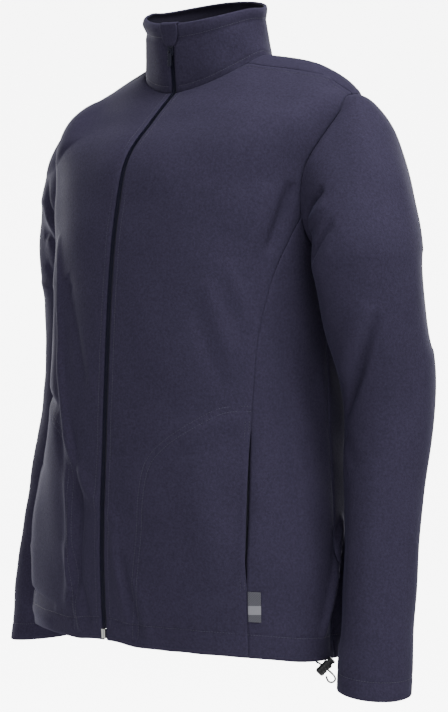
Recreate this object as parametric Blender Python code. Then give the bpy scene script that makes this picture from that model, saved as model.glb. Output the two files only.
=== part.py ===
"""Navy fleece zip jacket, filled out on an unseen form: cloth walls round an empty body.

Frame: metres, +Z up, the front faces -Y, the wearer's left is +X, and the origin is the middle of
the neck at the height of the highest shoulder point. A "turn" round the body is 0 at the front
centre, positive towards the wearer's left. Cloth pieces are walls whose outer face lies on one
smooth form, so that neighbours meet edge to edge with a small seam gap.
"""
import math

import bmesh
import bpy
import numpy as np

MM = 0.001

# Cloth and seams
CLOTH = 2.2 * MM                # one layer of fleece
DOUBLE = 4.4 * MM               # two layers: turned-up hems and the collar
HEM_BAND = 25 * MM              # height of the turned-up hem
CUFF_BAND = 20 * MM             # height of the turned-up cuff
SEAM_HALF_GAP = 0.2 * MM        # each piece stops this far from the seam line
ARMHOLE_GAP = 0.5 * MM          # the body's armhole is this much wider than the sleeve

# The body form, hem to neck. side_x, side_z: the side point; mid_y: where the ring turns from front
# to back; front_* and back_*: its centre points; square: 2 is an ellipse, more is boxier.
BODY = (
    # name       side_x  side_z   mid_y   front_y front_z  back_y  back_z   square
    ("hem",      0.2210, -0.7050, -0.038, -0.176, -0.690,  0.106, -0.7080, 2.10),
    ("pocket",   0.2190, -0.5900, -0.036, -0.180, -0.585,  0.116, -0.5900, 2.10),
    ("waist",    0.2050, -0.4600, -0.030, -0.176, -0.460,  0.121, -0.4600, 2.10),
    ("ribs",     0.1960, -0.3400, -0.024, -0.170, -0.340,  0.122, -0.3400, 2.15),
    ("armpit",   0.1930, -0.2350, -0.012, -0.164, -0.255,  0.126, -0.2450, 2.20),
    ("chest",    0.2030, -0.1450,  0.006, -0.154, -0.186,  0.130, -0.1650, 2.20),
    ("tip",      0.2120, -0.0550,  0.026, -0.137, -0.126,  0.126, -0.0950, 2.15),
    ("shoulder", 0.1540, -0.0150,  0.036, -0.097, -0.081,  0.112, -0.0340, 2.00),
    ("neck",     0.0910,  0.0000,  0.006, -0.057, -0.043,  0.070, -0.0040, 2.00),
)
LEVEL = {row[0]: index for index, row in enumerate(BODY)}
RIDGE_FALL = 1.5                # how fast a ring drops away from the shoulder ridge

# The armhole: an oval seen from the side
ARMHOLE_Y = 0.012
ARMHOLE_Z = -0.143
ARMHOLE_FRONT = 0.057           # how far it reaches forwards
ARMHOLE_BACK = 0.065            # and backwards
ARMHOLE_SCOOP = 0.012           # how much less it does high on the front
ARMHOLE_HALF_TALL = 0.092
ARMHOLE_LEAN = 0.018            # how far its top lies behind its middle

# The sleeves below the armhole, x taken outwards. across and fore are half sizes along X and Y;
# the right arm hangs a little further back.
SLEEVE_LEFT = (
    # name        x       y       z       across  fore   outer_drop
    ("upper_arm", 0.2560, -0.002, -0.2550, 0.0590, 0.0720, -0.012),
    ("bicep",     0.2610, 0.0100, -0.3300, 0.0560, 0.0670, -0.006),
    ("elbow",     0.2630, 0.0290, -0.4100, 0.0515, 0.0570,  0.000),
    ("forearm",   0.2660, 0.0140, -0.5200, 0.0440, 0.0490,  0.000),
    ("wrist",     0.2705, -0.001, -0.6400, 0.0405, 0.0455,  0.002),
    ("cuff",      0.2750, -0.0135, -0.7380, 0.0405, 0.0440,  0.004),
)
SLEEVE_RIGHT = (
    ("upper_arm", 0.2530, 0.0365, -0.2550, 0.0560, 0.0660, -0.012),
    ("bicep",     0.2580, 0.0480, -0.3300, 0.0550, 0.0610, -0.006),
    ("elbow",     0.2630, 0.0440, -0.4100, 0.0515, 0.0570,  0.000),
    ("forearm",   0.2660, 0.0170, -0.5200, 0.0440, 0.0490,  0.000),
    ("wrist",     0.2735, -0.008, -0.6400, 0.0405, 0.0455,  0.002),
    ("cuff",      0.2795, -0.017, -0.7380, 0.0405, 0.0440,  0.004),
)
SLEEVE_HEAD_LEFT = (0.185, 0.30)    # how strongly the head leaves the shoulder, and its slope
SLEEVE_HEAD_RIGHT = (0.250, 0.22)
SLEEVE_TUCK = 0.050             # and how little it does under the arm

# The stand collar. rise: fraction of its height
COLLAR = (
    # name    rise  half_x  mid_y   front_y front_z  back_y  back_z  side_z
    ("seam",  0.0,  0.0910, 0.006, -0.0570, -0.043,  0.0700, -0.004, 0.000),
    ("lower", 0.3,  0.0860, 0.003, -0.0590, -0.020,  0.0660,  0.020, 0.018),
    ("upper", 0.7,  0.0840, 0.000, -0.0615,  0.012,  0.0620,  0.051, 0.040),
    ("edge",  1.0,  0.0850, 0.000, -0.0640,  0.036,  0.0620,  0.075, 0.058),
)
COLLAR_TILT = 0.0045            # its edge stands this much lower on the wearer's left

# Zip, measured across and out from the front centre line
ZIP_HALF_OPENING = 3.3 * MM     # the fronts' edges stand this far from the centre
COIL_INNER = 0.2 * MM
COIL_OUTER = 2.8 * MM
COIL_FRONT = -0.3 * MM
COIL_BACK = -2.2 * MM
TAPE_INNER = 1.7 * MM
TAPE_OUTER = 13 * MM
TAPE_IN_COLLAR = 2.9 * MM
TAPE_FRONT = -2.9 * MM
TAPE_BACK = -3.5 * MM
TAPE_FALL = 0.9 * MM            # how far the tape's outer edge follows the front round

# Pockets, in the seam between front and side
PRINCESS = (
    # name     level  turn
    ("hem",     0.0,  0.93),
    ("pocket",  1.0,  0.93),
    ("waist",   2.0,  0.99),
    ("ribs",    3.0,  1.04),
    ("armhole", 4.15, 1.14),
)
SIDE_SEAM_TURN = math.radians(98)
SLIT_LOW = -0.615
SLIT_HIGH = -0.440
SLIT_HALF_GAPE = 1.1 * MM
BAG_FAR_TURN = 0.16             # how near the zip the pocket bag reaches
BAG_DEPTH = 14 * MM             # how far the bag hangs behind the front
BAG_LOW = -0.655
BAG_HIGH = -0.425


def smooth_rows(table, position):
    """The table's row at a fractional position, on a smooth curve through its rows."""
    table = np.asarray(table, float)
    position = np.clip(np.asarray(position, float), 0, len(table) - 1)
    low = np.minimum(position.astype(int), len(table) - 2)
    part = (position - low)[..., None]
    before = table[np.maximum(low - 1, 0)]
    start, end = table[low], table[low + 1]
    after = table[np.minimum(low + 2, len(table) - 1)]
    leave = (end - before) / 2
    arrive = (after - start) / 2
    return (start * (1 + 2 * part) * (1 - part) ** 2 + leave * part * (1 - part) ** 2
            + end * part ** 2 * (3 - 2 * part) - arrive * part ** 2 * (1 - part))


def signed_power(value, exponent):
    return np.sign(value) * np.abs(value) ** exponent


def body_point(level, turn):
    """A point of the body form: level is a fractional row of BODY, turn is round the body."""
    level, turn = np.broadcast_arrays(np.asarray(level, float), np.asarray(turn, float))
    side_x, side_z, mid_y, front_y, front_z, back_y, back_z, square = np.moveaxis(
        smooth_rows([row[1:] for row in BODY], level), -1, 0)
    ahead = signed_power(np.cos(turn), 2 / square)
    end_y = np.where(ahead > 0, front_y, back_y)
    end_z = np.where(ahead > 0, front_z, back_z)
    return np.stack([side_x * signed_power(np.sin(turn), 2 / square),
                     mid_y + (end_y - mid_y) * np.abs(ahead),
                     side_z + (end_z - side_z) * np.abs(ahead) ** RIDGE_FALL], -1)


def unit(vectors):
    return vectors / np.maximum(np.linalg.norm(vectors, axis=-1, keepdims=True), 1e-12)


def form_normal(form, first, second, step=0.01):
    """The outward normal of a form given as a function of two parameters."""
    along_first = form(first + step, second) - form(first - step, second)
    along_second = form(first, second + step) - form(first, second - step)
    return unit(np.cross(along_second, along_first))


def body_normal(level, turn):
    return form_normal(body_point, np.clip(level, 0.01, len(BODY) - 1.01), turn)


def armhole_places(count, widen=0.0):
    """(level, turn) round the left armhole, from its top and forwards."""
    places = []
    guess = np.array([LEVEL["tip"] + 0.1, math.radians(90)])
    for step in range(count):
        angle = 2 * math.pi * step / count
        ahead = math.sin(angle) > 0
        half_wide = ARMHOLE_FRONT if ahead else ARMHOLE_BACK
        scoop = ARMHOLE_SCOOP * max(math.sin(2 * angle), 0) ** 2 * ahead
        goal = np.array([ARMHOLE_Y - (half_wide + widen) * math.sin(angle)
                         + ARMHOLE_LEAN * math.cos(angle) + scoop,
                         ARMHOLE_Z + (ARMHOLE_HALF_TALL + widen) * math.cos(angle)])
        for _ in range(40):
            miss = body_point(guess[0], guess[1])[1:] - goal
            if np.abs(miss).max() < 1e-7:
                break
            slope = np.stack([(body_point(guess[0] + 1e-4, guess[1])[1:] - goal - miss) / 1e-4,
                              (body_point(guess[0], guess[1] + 1e-4)[1:] - goal - miss) / 1e-4], 1)
            move = np.linalg.solve(slope, miss)
            guess = guess - np.clip(move, -0.3, 0.3)
        places.append(guess.copy())
    return np.array(places)


def at_fractions(points, fractions):
    """Points at fractions of the way along a polyline of parameters."""
    points = np.asarray(points, float)
    steps = np.concatenate([[0], np.cumsum(np.linalg.norm(np.diff(points, axis=0), axis=1))])
    steps /= steps[-1]
    return np.stack([np.interp(fractions, steps, column) for column in points.T], 1)


# ---- meshes ----

def add_material(obj, colour, roughness, metallic=0.0):
    material = bpy.data.materials.new(obj.name + "_finish")
    material.use_nodes = True
    shader = material.node_tree.nodes["Principled BSDF"]
    shader.inputs["Base Color"].default_value = (*colour, 1.0)
    shader.inputs["Roughness"].default_value = roughness
    shader.inputs["Metallic"].default_value = metallic
    obj.data.materials.append(material)


NAVY = (0.030, 0.029, 0.050)
TAPE_NAVY = (0.020, 0.020, 0.035)
BLACK = (0.010, 0.010, 0.011)
GREY = (0.25, 0.25, 0.27)
NICKEL = (0.60, 0.60, 0.60)


def add_object(name, vertices, faces, finish, origin=(0, 0, 0), flat=False):
    mesh = bpy.data.meshes.new(name)
    base = np.asarray(origin, float)
    mesh.from_pydata([tuple(np.asarray(v, float) - base) for v in vertices], [], faces)
    work = bmesh.new()
    work.from_mesh(mesh)
    bmesh.ops.recalc_face_normals(work, faces=work.faces)
    work.to_mesh(mesh)
    work.free()
    if not flat:
        mesh.shade_smooth()
        mesh.set_sharp_from_angle(angle=math.radians(40))
    obj = bpy.data.objects.new(name, mesh)
    obj.location = origin
    bpy.context.scene.collection.objects.link(obj)
    add_material(obj, *finish)
    return obj


FLEECE = (NAVY, 0.95)


def wall(name, outer, inner, finish=FLEECE, around=False):
    """A closed wall between two grids of points; around joins the last column to the first."""
    rows, columns = outer.shape[:2]
    vertices = list(outer.reshape(-1, 3)) + list(inner.reshape(-1, 3))
    shift = rows * columns

    def corner(row, column, side):
        return row * columns + column % columns + side * shift

    faces = []
    spans = columns if around else columns - 1
    for row in range(rows - 1):
        for column in range(spans):
            ring = [(row, column), (row, column + 1), (row + 1, column + 1), (row + 1, column)]
            faces.append([corner(r, c, 0) for r, c in ring])
            faces.append([corner(r, c, 1) for r, c in reversed(ring)])
    for row in (0, rows - 1):
        for column in range(spans):
            quad = [corner(row, column, 0), corner(row, column, 1),
                    corner(row, column + 1, 1), corner(row, column + 1, 0)]
            faces.append(quad if row == 0 else quad[::-1])
    if not around:
        for column in (0, columns - 1):
            for row in range(rows - 1):
                quad = [corner(row, column, 0), corner(row + 1, column, 0),
                        corner(row + 1, column, 1), corner(row, column, 1)]
                faces.append(quad if column == 0 else quad[::-1])
    return add_object(name, vertices, faces, finish)


def trim_edges(grid, amounts):
    """Move a grid's first and last columns and rows inwards: left, right, first row, last row."""
    left, right, first, last = amounts
    grid = grid.copy()
    grid[:, 0] += unit(grid[:, 1] - grid[:, 0]) * left
    grid[:, -1] += unit(grid[:, -2] - grid[:, -1]) * right
    grid[0] += unit(grid[1] - grid[0]) * first
    grid[-1] += unit(grid[-2] - grid[-1]) * last
    return grid


def mirrored(grid):
    """The same grid on the wearer's other side."""
    return grid[:, ::-1] * np.array([-1, 1, 1])


# ---- body panels ----

NECK = LEVEL["neck"]
HEM_LEVEL = HEM_BAND / (BODY[1][2] - BODY[0][2])
LOOP = 20                       # points round the armhole, the same on the body and the sleeve
armhole = armhole_places(LOOP, ARMHOLE_GAP)


def loop_part(start, end):
    """The armhole's points from one of them to another, counted from its top and forwards."""
    step = 1 if end > start else -1
    return np.array([armhole[index % LOOP] for index in range(start, end + step, step)])


FRONT_POINT = 7                 # the armhole point where the princess seam arrives
UNDER_POINT = 11                # and the one where the side seam does
SHOULDER_SEAM = [(NECK - 1, math.radians(76)), (NECK - 0.45, math.radians(69)),
                 (NECK, math.radians(66.5))]


def princess_turn(level):
    levels = [row[1] for row in PRINCESS]
    turns = [row[2] for row in PRINCESS]
    return np.interp(level, levels, turns)


def seam_from_hem(turn_of, end_place, count=14):
    """(level, turn) up a seam from the hem to a place on the armhole."""
    levels = np.linspace(0, end_place[0], count)
    turns = np.array([turn_of(level) for level in levels])
    ease = (levels / end_place[0]) ** 6
    turns = turns + (end_place[1] - turns[-1]) * ease
    return np.stack([levels, turns], 1)


princess_top = armhole[FRONT_POINT]
under_top = armhole[UNDER_POINT]
princess_seam = seam_from_hem(princess_turn, princess_top)
side_seam = seam_from_hem(lambda level: SIDE_SEAM_TURN, under_top)
shoulder_seam = at_fractions([armhole[0], *SHOULDER_SEAM], np.linspace(0, 1, 8))


def edge_rows(lower, rows, loop, upper=None, upper_rows=4):
    """A panel's edge: up a seam, along part of the armhole, and up another seam."""
    parts = [at_fractions(lower, np.linspace(0, 1, rows + 1)), loop[1:]]
    if upper is not None:
        parts.append(at_fractions(upper, np.linspace(0, 1, upper_rows + 1))[1:])
    return np.vstack(parts)


def hem_first(edge):
    """Add the top line of the turned-up hem after the first row."""
    slope = (edge[1] - edge[0]) / (edge[1][0] - edge[0][0])
    band = [edge[0] + slope * HEM_LEVEL * share for share in (0.97, 1.05)]
    return np.vstack([edge[:1], band, edge[1:]])


def body_panel(left, right, columns, trims, bend=0.0, last_row=None):
    """A panel of the form between two edges of (level, turn), with its hem doubled.

    bend raises the middle of each row, and the upper rows ease into last_row.
    """
    across = np.linspace(0, 1, columns)
    places = left[:, None] * (1 - across[None, :, None]) + right[:, None] * across[None, :, None]
    places[..., 0] += np.multiply.outer(np.ones(len(left)) * bend, 4 * across * (1 - across))
    if last_row is not None:
        share = np.linspace(0, 1, len(left)) ** 3
        places += share[:, None, None] * (last_row - places[-1])
    outer = body_point(places[..., 0], places[..., 1])
    normal = body_normal(places[..., 0], places[..., 1])
    outer = trim_edges(outer, trims)
    depth = np.full(outer.shape[:2], CLOTH)
    depth[:2] = DOUBLE
    inner = outer - normal * depth[..., None]
    return outer, inner


ROWS = (13, FRONT_POINT, 4)     # rows beside the princess seam, the armhole and the shoulder
centre_levels = np.concatenate([np.linspace(0, 4.0, ROWS[0] + 1),
                                np.linspace(4.0, 7.35, ROWS[1] + 1)[1:],
                                np.linspace(7.35, NECK, ROWS[2] + 1)[1:]])


def zip_turn(level):
    """The turn at which the fronts' edges run beside the zip."""
    half = smooth_rows([row[1:2] for row in BODY], level)[..., 0]
    square = smooth_rows([row[8:9] for row in BODY], level)[..., 0]
    return np.arcsin((ZIP_HALF_OPENING / half) ** (square / 2))


EDGE = SEAM_HALF_GAP
front_edge = np.stack([centre_levels, zip_turn(centre_levels)], 1)
front_outline = edge_rows(princess_seam, ROWS[0], loop_part(FRONT_POINT, 0), shoulder_seam)
SIDE_ROWS = np.linspace(0, 1, 12)
side_left_edge = hem_first(at_fractions(princess_seam, SIDE_ROWS))
side_right_edge = hem_first(at_fractions(side_seam, SIDE_ROWS))
back_outline = edge_rows(side_seam, 11, loop_part(UNDER_POINT, LOOP), shoulder_seam)
back_centre = np.concatenate([np.linspace(0, 4.2, 12), np.linspace(4.2, 7.3, 10)[1:],
                              np.linspace(7.3, NECK, 5)[1:]])


def make_body():
    left_edge, right_edge = hem_first(front_edge), hem_first(front_outline)
    outer, inner = body_panel(left_edge, right_edge, 8, (0, EDGE, 0, EDGE))
    slit = slit_rows(outer[:, -1, 2])
    outer[slit, -1] += unit(outer[slit, -2] - outer[slit, -1]) * SLIT_HALF_GAPE
    inner[slit, -1] += unit(inner[slit, -2] - inner[slit, -1]) * SLIT_HALF_GAPE
    wall("front_left", outer, inner)
    wall("front_right", mirrored(outer), mirrored(inner))

    top = loop_part(FRONT_POINT, UNDER_POINT)
    outer, inner = body_panel(side_left_edge, side_right_edge, len(top), (EDGE, EDGE, 0, 0),
                              last_row=top)
    slit = slit_rows(outer[:, 0, 2])
    outer[slit, 0] += unit(outer[slit, 1] - outer[slit, 0]) * SLIT_HALF_GAPE
    inner[slit, 0] += unit(inner[slit, 1] - inner[slit, 0]) * SLIT_HALF_GAPE
    wall("side_left", outer, inner)
    wall("side_right", mirrored(outer), mirrored(inner))

    left = hem_first(back_outline)
    centre = hem_first(np.stack([back_centre, np.full(len(back_centre), math.pi)], 1))
    right = np.stack([left[:, 0], 2 * math.pi - left[:, 1]], 1)
    bend = centre[:, 0] - left[:, 0]
    outer, inner = body_panel(left, right, 15, (EDGE, EDGE, 0, EDGE), bend)
    wall("back", outer, inner)


def slit_rows(heights):
    return np.where((heights > SLIT_LOW) & (heights < SLIT_HIGH))[0]


# ---- sleeves ----

AROUND = 20                     # points round a sleeve
SLEEVE_ROWS = 18


def sleeve_knots(sections, angles):
    """The armhole and each section at the given angles, from the top and forwards."""
    places = armhole_places(len(angles))
    rings = [body_point(places[:, 0], places[:, 1])]
    for _, x, y, z, across, fore, outer_drop in sections:
        ring = np.stack([x + across * np.cos(angles), y - fore * np.sin(angles),
                         z - outer_drop * np.cos(angles)], 1)
        rings.append(ring)
    return np.array(rings)


def sleeve_grid(sections, around=AROUND, rows=SLEEVE_ROWS):
    """Points of a sleeve on the wearer's left: rows from the armhole to the cuff."""
    angles = np.arange(around) * 2 * math.pi / around
    knots = sleeve_knots(sections, angles)
    top = (1 + np.cos(angles)) / 2
    leaves, slope = SLEEVE_HEAD_LEFT if sections is SLEEVE_LEFT else SLEEVE_HEAD_RIGHT
    strength = SLEEVE_TUCK + (leaves - SLEEVE_TUCK) * top
    forward = -0.35 * np.sin(angles) * top
    leave = unit(np.stack([np.ones(around), forward, -slope * top], 1))
    leave *= strength[:, None]
    tangents = np.empty_like(knots)
    tangents[0] = leave
    tangents[1:-1] = (knots[2:] - knots[:-2]) / 2
    tangents[1] = (knots[2] - knots[1]) * (0.9 + 0.4 * top[:, None])
    tangents[-1] = knots[-1] - knots[-2]
    grid = []
    for position in sleeve_positions(rows, len(knots)):
        low = min(int(position), len(knots) - 2)
        part = position - low
        grid.append(knots[low] * (1 + 2 * part) * (1 - part) ** 2
                    + tangents[low] * part * (1 - part) ** 2
                    + knots[low + 1] * part ** 2 * (3 - 2 * part)
                    - tangents[low + 1] * part ** 2 * (1 - part))
    return np.array(grid)


def sleeve_positions(rows, knots):
    """Rows closer together at the armhole, and a pair of rows at the top of the cuff's band."""
    even = np.linspace(0, 1, rows - 1) ** 1.1 * (knots - 1)
    band = (knots - 1) - CUFF_BAND / (SLEEVE_LEFT[-2][3] - SLEEVE_LEFT[-1][3])
    kept = even[(even < band - 0.12)]
    return np.concatenate([kept, [band - 0.02, band + 0.02, knots - 1]])


def grid_normals(grid):
    """Outward normals of a grid that closes round its columns."""
    along = np.gradient(grid, axis=0)
    around = np.roll(grid, -1, axis=1) - np.roll(grid, 1, axis=1)
    normal = unit(np.cross(around, along))
    outward = grid - grid.mean(axis=1, keepdims=True)
    return normal * np.sign((normal * outward).sum(-1).mean())


def make_sleeves():
    for name, sections in (("sleeve_left", SLEEVE_LEFT), ("sleeve_right", SLEEVE_RIGHT)):
        outer = sleeve_grid(sections)
        depth = np.full(len(outer), CLOTH)
        depth[-2:] = DOUBLE
        inner = outer - grid_normals(outer) * depth[:, None, None]
        places = armhole_places(AROUND)
        inner[0] = outer[0] - body_normal(places[:, 0], places[:, 1]) * CLOTH
        if name == "sleeve_right":
            outer, inner = mirrored(outer), mirrored(inner)
        wall(name, outer, inner, around=True)


# ---- collar ----

def collar_point(rise, turn):
    heights = [row[1] for row in COLLAR]
    position = np.interp(rise, heights, np.arange(len(COLLAR)))
    half_x, mid_y, front_y, front_z, back_y, back_z, side_z = np.moveaxis(
        smooth_rows([row[2:] for row in COLLAR], position), -1, 0)
    ahead = np.cos(turn)
    end_y = np.where(ahead > 0, front_y, back_y)
    end_z = np.where(ahead > 0, front_z, back_z)
    tilt = COLLAR_TILT * rise * np.sin(turn)
    return np.stack([half_x * np.sin(turn), mid_y + (end_y - mid_y) * np.abs(ahead),
                     side_z + (end_z - side_z) * np.abs(ahead) ** RIDGE_FALL - tilt], -1)


def make_collar():
    rises = np.array([0.0, 0.25, 0.5, 0.75, 0.97, 1.0])
    start = math.asin(ZIP_HALF_OPENING / COLLAR[0][2])
    turns = np.linspace(start, 2 * math.pi - start, 29)
    rise, turn = np.meshgrid(rises, turns, indexing="ij")
    outer = collar_point(rise, turn)
    normal = form_normal(collar_point, np.clip(rise, 0.01, 0.99), turn)
    outer = trim_edges(outer, (0, 0, 2 * EDGE, 0))
    outer[:, 0, 0] = ZIP_HALF_OPENING
    outer[:, -1, 0] = -ZIP_HALF_OPENING
    inner = outer - normal * DOUBLE
    inner[:, 0, 0] = ZIP_HALF_OPENING
    inner[:, -1, 0] = -ZIP_HALF_OPENING
    inner[-1] -= (outer[-1] - outer[-2]) * 0.6
    wall("collar", outer, inner)


# ---- zip ----

def centre_line(count=240):
    """The front centre from hem to collar edge: points, outward normals and distances."""
    body = body_point(np.linspace(0, NECK, count), 0.0)
    collar = collar_point(np.linspace(0, 1, count // 3), 0.0)
    points = np.vstack([body, collar[1:]])
    for _ in range(12):
        points[1:-1] = (points[:-2] + 2 * points[1:-1] + points[2:]) / 4
    along = unit(np.gradient(points, axis=0))
    normals = np.stack([np.zeros(len(points)), -along[:, 2], along[:, 1]], 1)
    distance = np.concatenate([[0], np.cumsum(np.linalg.norm(np.diff(points, axis=0), axis=1))])
    return points, normals, distance


CENTRE = centre_line()


def centre_at(distance):
    points, normals, distances = CENTRE
    return [np.stack([np.interp(distance, distances, column) for column in grid.T], -1)
            for grid in (points, normals)]


def distance_at_height(height):
    points, _, distances = CENTRE
    return float(np.interp(height, points[:, 2], distances))


def front_strip(name, distances, inner_x, outer_x, front, back, side, finish, fall=0.0):
    """A strip beside the front centre: x from inner_x to outer_x, and between two offsets out.

    fall sets the outer edge further back, to follow the front round.
    """
    points, normals = centre_at(distances)
    outer_x = np.broadcast_to(outer_x, distances.shape)
    grids = []
    for offset in (front, back):
        grid = np.repeat((points + normals * offset)[:, None], 2, axis=1)
        grid[:, 0, 0] = side * inner_x
        grid[:, 1, 0] = side * outer_x
        grid[:, 1] -= normals * np.broadcast_to(fall, distances.shape)[:, None]
        grids.append(grid)
    return wall(name, grids[0], grids[1], finish)


SLIDER_LOW = 0.0
SLIDER_HIGH = 11.5 * MM
BOX_TALL = 11 * MM
ZIP_GAP = 0.4 * MM


def make_zip():
    start = ZIP_GAP + BOX_TALL + ZIP_GAP
    end = distance_at_height(SLIDER_LOW + 4 * MM)
    hem_top = HEM_BAND * 1.3
    neck_seam = distance_at_height(COLLAR[0][5]) - 8 * MM
    widening = [hem_top, hem_top + 2 * MM, neck_seam - 2 * MM, neck_seam]
    distances = np.union1d(np.linspace(start, end, 32), widening)
    wide = (distances > hem_top + MM) & (distances < neck_seam - MM)
    tape_outer = np.where(wide, TAPE_OUTER, TAPE_IN_COLLAR)
    for name, side in (("left", 1), ("right", -1)):
        front_strip("zip_coil_" + name, distances, COIL_INNER, COIL_OUTER, COIL_FRONT, COIL_BACK,
                    side, (TAPE_NAVY, 0.5))
        front_strip("zip_tape_" + name, distances, TAPE_INNER, tape_outer, TAPE_FRONT, TAPE_BACK,
                    side, (TAPE_NAVY, 0.85), np.where(wide, TAPE_FALL, 0.0))
    pin_side = np.linspace(ZIP_GAP, ZIP_GAP + BOX_TALL, 3)
    front_strip("zip_box", pin_side, -2.9 * MM, 0.2 * MM, 0.6 * MM, -3.0 * MM, 1, (NICKEL, 0.3, 1.0))
    front_strip("zip_pin", pin_side, 0.5 * MM, 2.6 * MM, 0.3 * MM, -2.6 * MM, 1, (NICKEL, 0.3, 1.0))


def block(low, high):
    """Vertices and faces of a box between two corners."""
    corners = [(x, y, z) for z in (low[2], high[2]) for y in (low[1], high[1])
               for x in (low[0], high[0])]
    faces = [(0, 2, 3, 1), (4, 5, 7, 6), (0, 1, 5, 4), (2, 6, 7, 3), (0, 4, 6, 2), (1, 3, 7, 5)]
    return corners, faces


def add_block(name, low, high, finish, origin=(0, 0, 0)):
    corners, faces = block(low, high)
    return add_object(name, corners, faces, finish, origin, flat=True)


def combine(target, other, operation):
    """Apply a boolean of one object to another and remove the other."""
    modifier = target.modifiers.new(operation.lower(), "BOOLEAN")
    modifier.operation = operation
    modifier.object = other
    modifier.solver = "EXACT"
    bpy.context.view_layer.update()
    graph = bpy.context.evaluated_depsgraph_get()
    mesh = bpy.data.meshes.new_from_object(target.evaluated_get(graph))
    target.modifiers.remove(modifier)
    target.data = mesh
    bpy.data.objects.remove(other, do_unlink=True)
    return target


def soften(obj, width, segments=2):
    bevel = obj.modifiers.new("bevel", "BEVEL")
    bevel.width = width
    bevel.segments = segments
    bevel.limit_method = "ANGLE"
    bevel.angle_limit = math.radians(50)


ZINC = (TAPE_NAVY, 0.35, 0.6)
SLIDER_MIDDLE = (SLIDER_LOW + SLIDER_HIGH) / 2
PULL_AXIS_Z = 6.5 * MM
PULL_LENGTH = 20 * MM
PULL_HALF = 2.7 * MM
WINDOW_HALF = 1.4 * MM
SLIDER_HALF = 4.5 * MM
SLIDER_PLATE = 1.3 * MM
LUG_WALL = 0.9 * MM
PULL_THICK = 1.0 * MM


def make_slider():
    face_y = float(centre_at(distance_at_height(SLIDER_MIDDLE))[0][1]) - ZIP_GAP - 0.3 * MM
    plate_y = face_y - SLIDER_PLATE
    axis_y = plate_y - 1.0 * MM
    lug_y = axis_y - 0.9 * MM - LUG_WALL
    slider = add_block("zip_slider", (-SLIDER_HALF, plate_y, SLIDER_LOW),
                       (SLIDER_HALF, face_y, SLIDER_HIGH), ZINC)
    post = add_block("post", (-1.2 * MM, face_y - 0.2 * MM, SLIDER_LOW + 5 * MM),
                     (1.2 * MM, face_y + 5.3 * MM, SLIDER_HIGH - 0.6 * MM), ZINC)
    back = add_block("back_plate", (-2.8 * MM, face_y + 4.9 * MM, SLIDER_LOW + 0.2 * MM),
                     (2.8 * MM, face_y + 6.1 * MM, SLIDER_HIGH - 0.3 * MM), ZINC)
    lug = add_block("lug", (-0.7 * MM, lug_y, PULL_AXIS_Z - 2.5 * MM),
                    (0.7 * MM, plate_y + 0.2 * MM, PULL_AXIS_Z + 2.5 * MM), ZINC)
    lug_hole = add_block("lug_hole", (-2 * MM, axis_y - 0.9 * MM, PULL_AXIS_Z - 1.1 * MM),
                         (2 * MM, axis_y + 0.85 * MM, PULL_AXIS_Z + 1.1 * MM), ZINC)
    combine(lug, lug_hole, "DIFFERENCE")
    for piece in (post, back, lug):
        combine(slider, piece, "UNION")
    soften(slider, 0.25 * MM, 1)

    half = PULL_THICK / 2
    top = PULL_AXIS_Z + half
    pull = add_block("zip_pull", (-PULL_HALF, axis_y - half, top - PULL_LENGTH),
                     (PULL_HALF, axis_y + half, top), ZINC, origin=(0, axis_y, PULL_AXIS_Z))
    window = add_block("window", (-WINDOW_HALF, axis_y - 2 * MM, PULL_AXIS_Z - 3.6 * MM),
                       (WINDOW_HALF, axis_y + 2 * MM, PULL_AXIS_Z - half), ZINC)
    combine(pull, window, "DIFFERENCE")
    soften(pull, 0.2 * MM, 1)


GARAGE = (
    # name     rise   out    half_width
    ("tip",    0.695, 0.45,  4.0),
    ("lower",  0.74,  0.55,  5.6),
    ("middle", 0.84,  0.55,  8.2),
    ("upper",  0.94,  0.50, 10.2),
    ("brow",   1.00,  0.60, 10.5),
)
GARAGE_THICK = 1.8 * MM
GARAGE_ABOVE = 0.8 * MM
GARAGE_INSIDE = 0.12            # how far down the inside it reaches, as a share of the rise


def make_garage():
    """The rounded flap that covers the zip's top end and folds over the collar edge."""
    across = np.linspace(-1, 1, 9)
    outer, inner = [], []

    def add_row(rise, half_width, near, far, lift=0.0):
        turn = np.arcsin(across * half_width * MM / COLLAR[-1][2])
        base = collar_point(np.full(9, rise), turn)
        normal = form_normal(collar_point, np.full(9, min(rise, 0.98)), turn)
        normal[:, 2] = 0
        up = np.array([0, 0, lift])
        outer.append(base + unit(normal) * far + up)
        inner.append(base + unit(normal) * near + up)

    for _, rise, out, half_width in GARAGE:
        add_row(rise, half_width, out * MM, out * MM + GARAGE_THICK)
    width = GARAGE[-1][3]
    middle = -DOUBLE / 2
    reach = DOUBLE / 2 + 0.6 * MM
    for angle in (45, 90, 135):
        cosine, sine = math.cos(math.radians(angle)), math.sin(math.radians(angle))
        add_row(1.0, width, middle + reach * cosine, middle + (reach + GARAGE_THICK) * cosine)
        inner[-1][:, 2] += GARAGE_ABOVE * sine + 0.2 * MM
        outer[-1][:, 2] += (GARAGE_ABOVE + GARAGE_THICK) * sine + 0.2 * MM
    for drop in (0.0, 0.5, 1.0):
        add_row(1.0 - GARAGE_INSIDE * drop, width * (1 - 0.2 * drop), middle - reach - 0.5 * MM,
                middle - reach - GARAGE_THICK - 0.5 * MM)
    wall("zip_garage", np.array(outer), np.array(inner))


# ---- pocket bags and label ----

def offset_wall(name, levels, turns, outer_depth, thickness, finish=FLEECE, mirror=False):
    """A wall that follows the body form at a depth behind it (or in front, where negative)."""
    base = body_point(levels, turns)
    normal = body_normal(levels, turns)
    outer = base - normal * outer_depth[..., None]
    inner = outer - normal * thickness
    if mirror:
        outer, inner = mirrored(outer), mirrored(inner)
    return wall(name, outer, inner, finish)


def level_at_height(height, turn):
    levels = np.linspace(0, LEVEL["armpit"], 400)
    return float(np.interp(height, body_point(levels, turn)[:, 2], levels))


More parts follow.
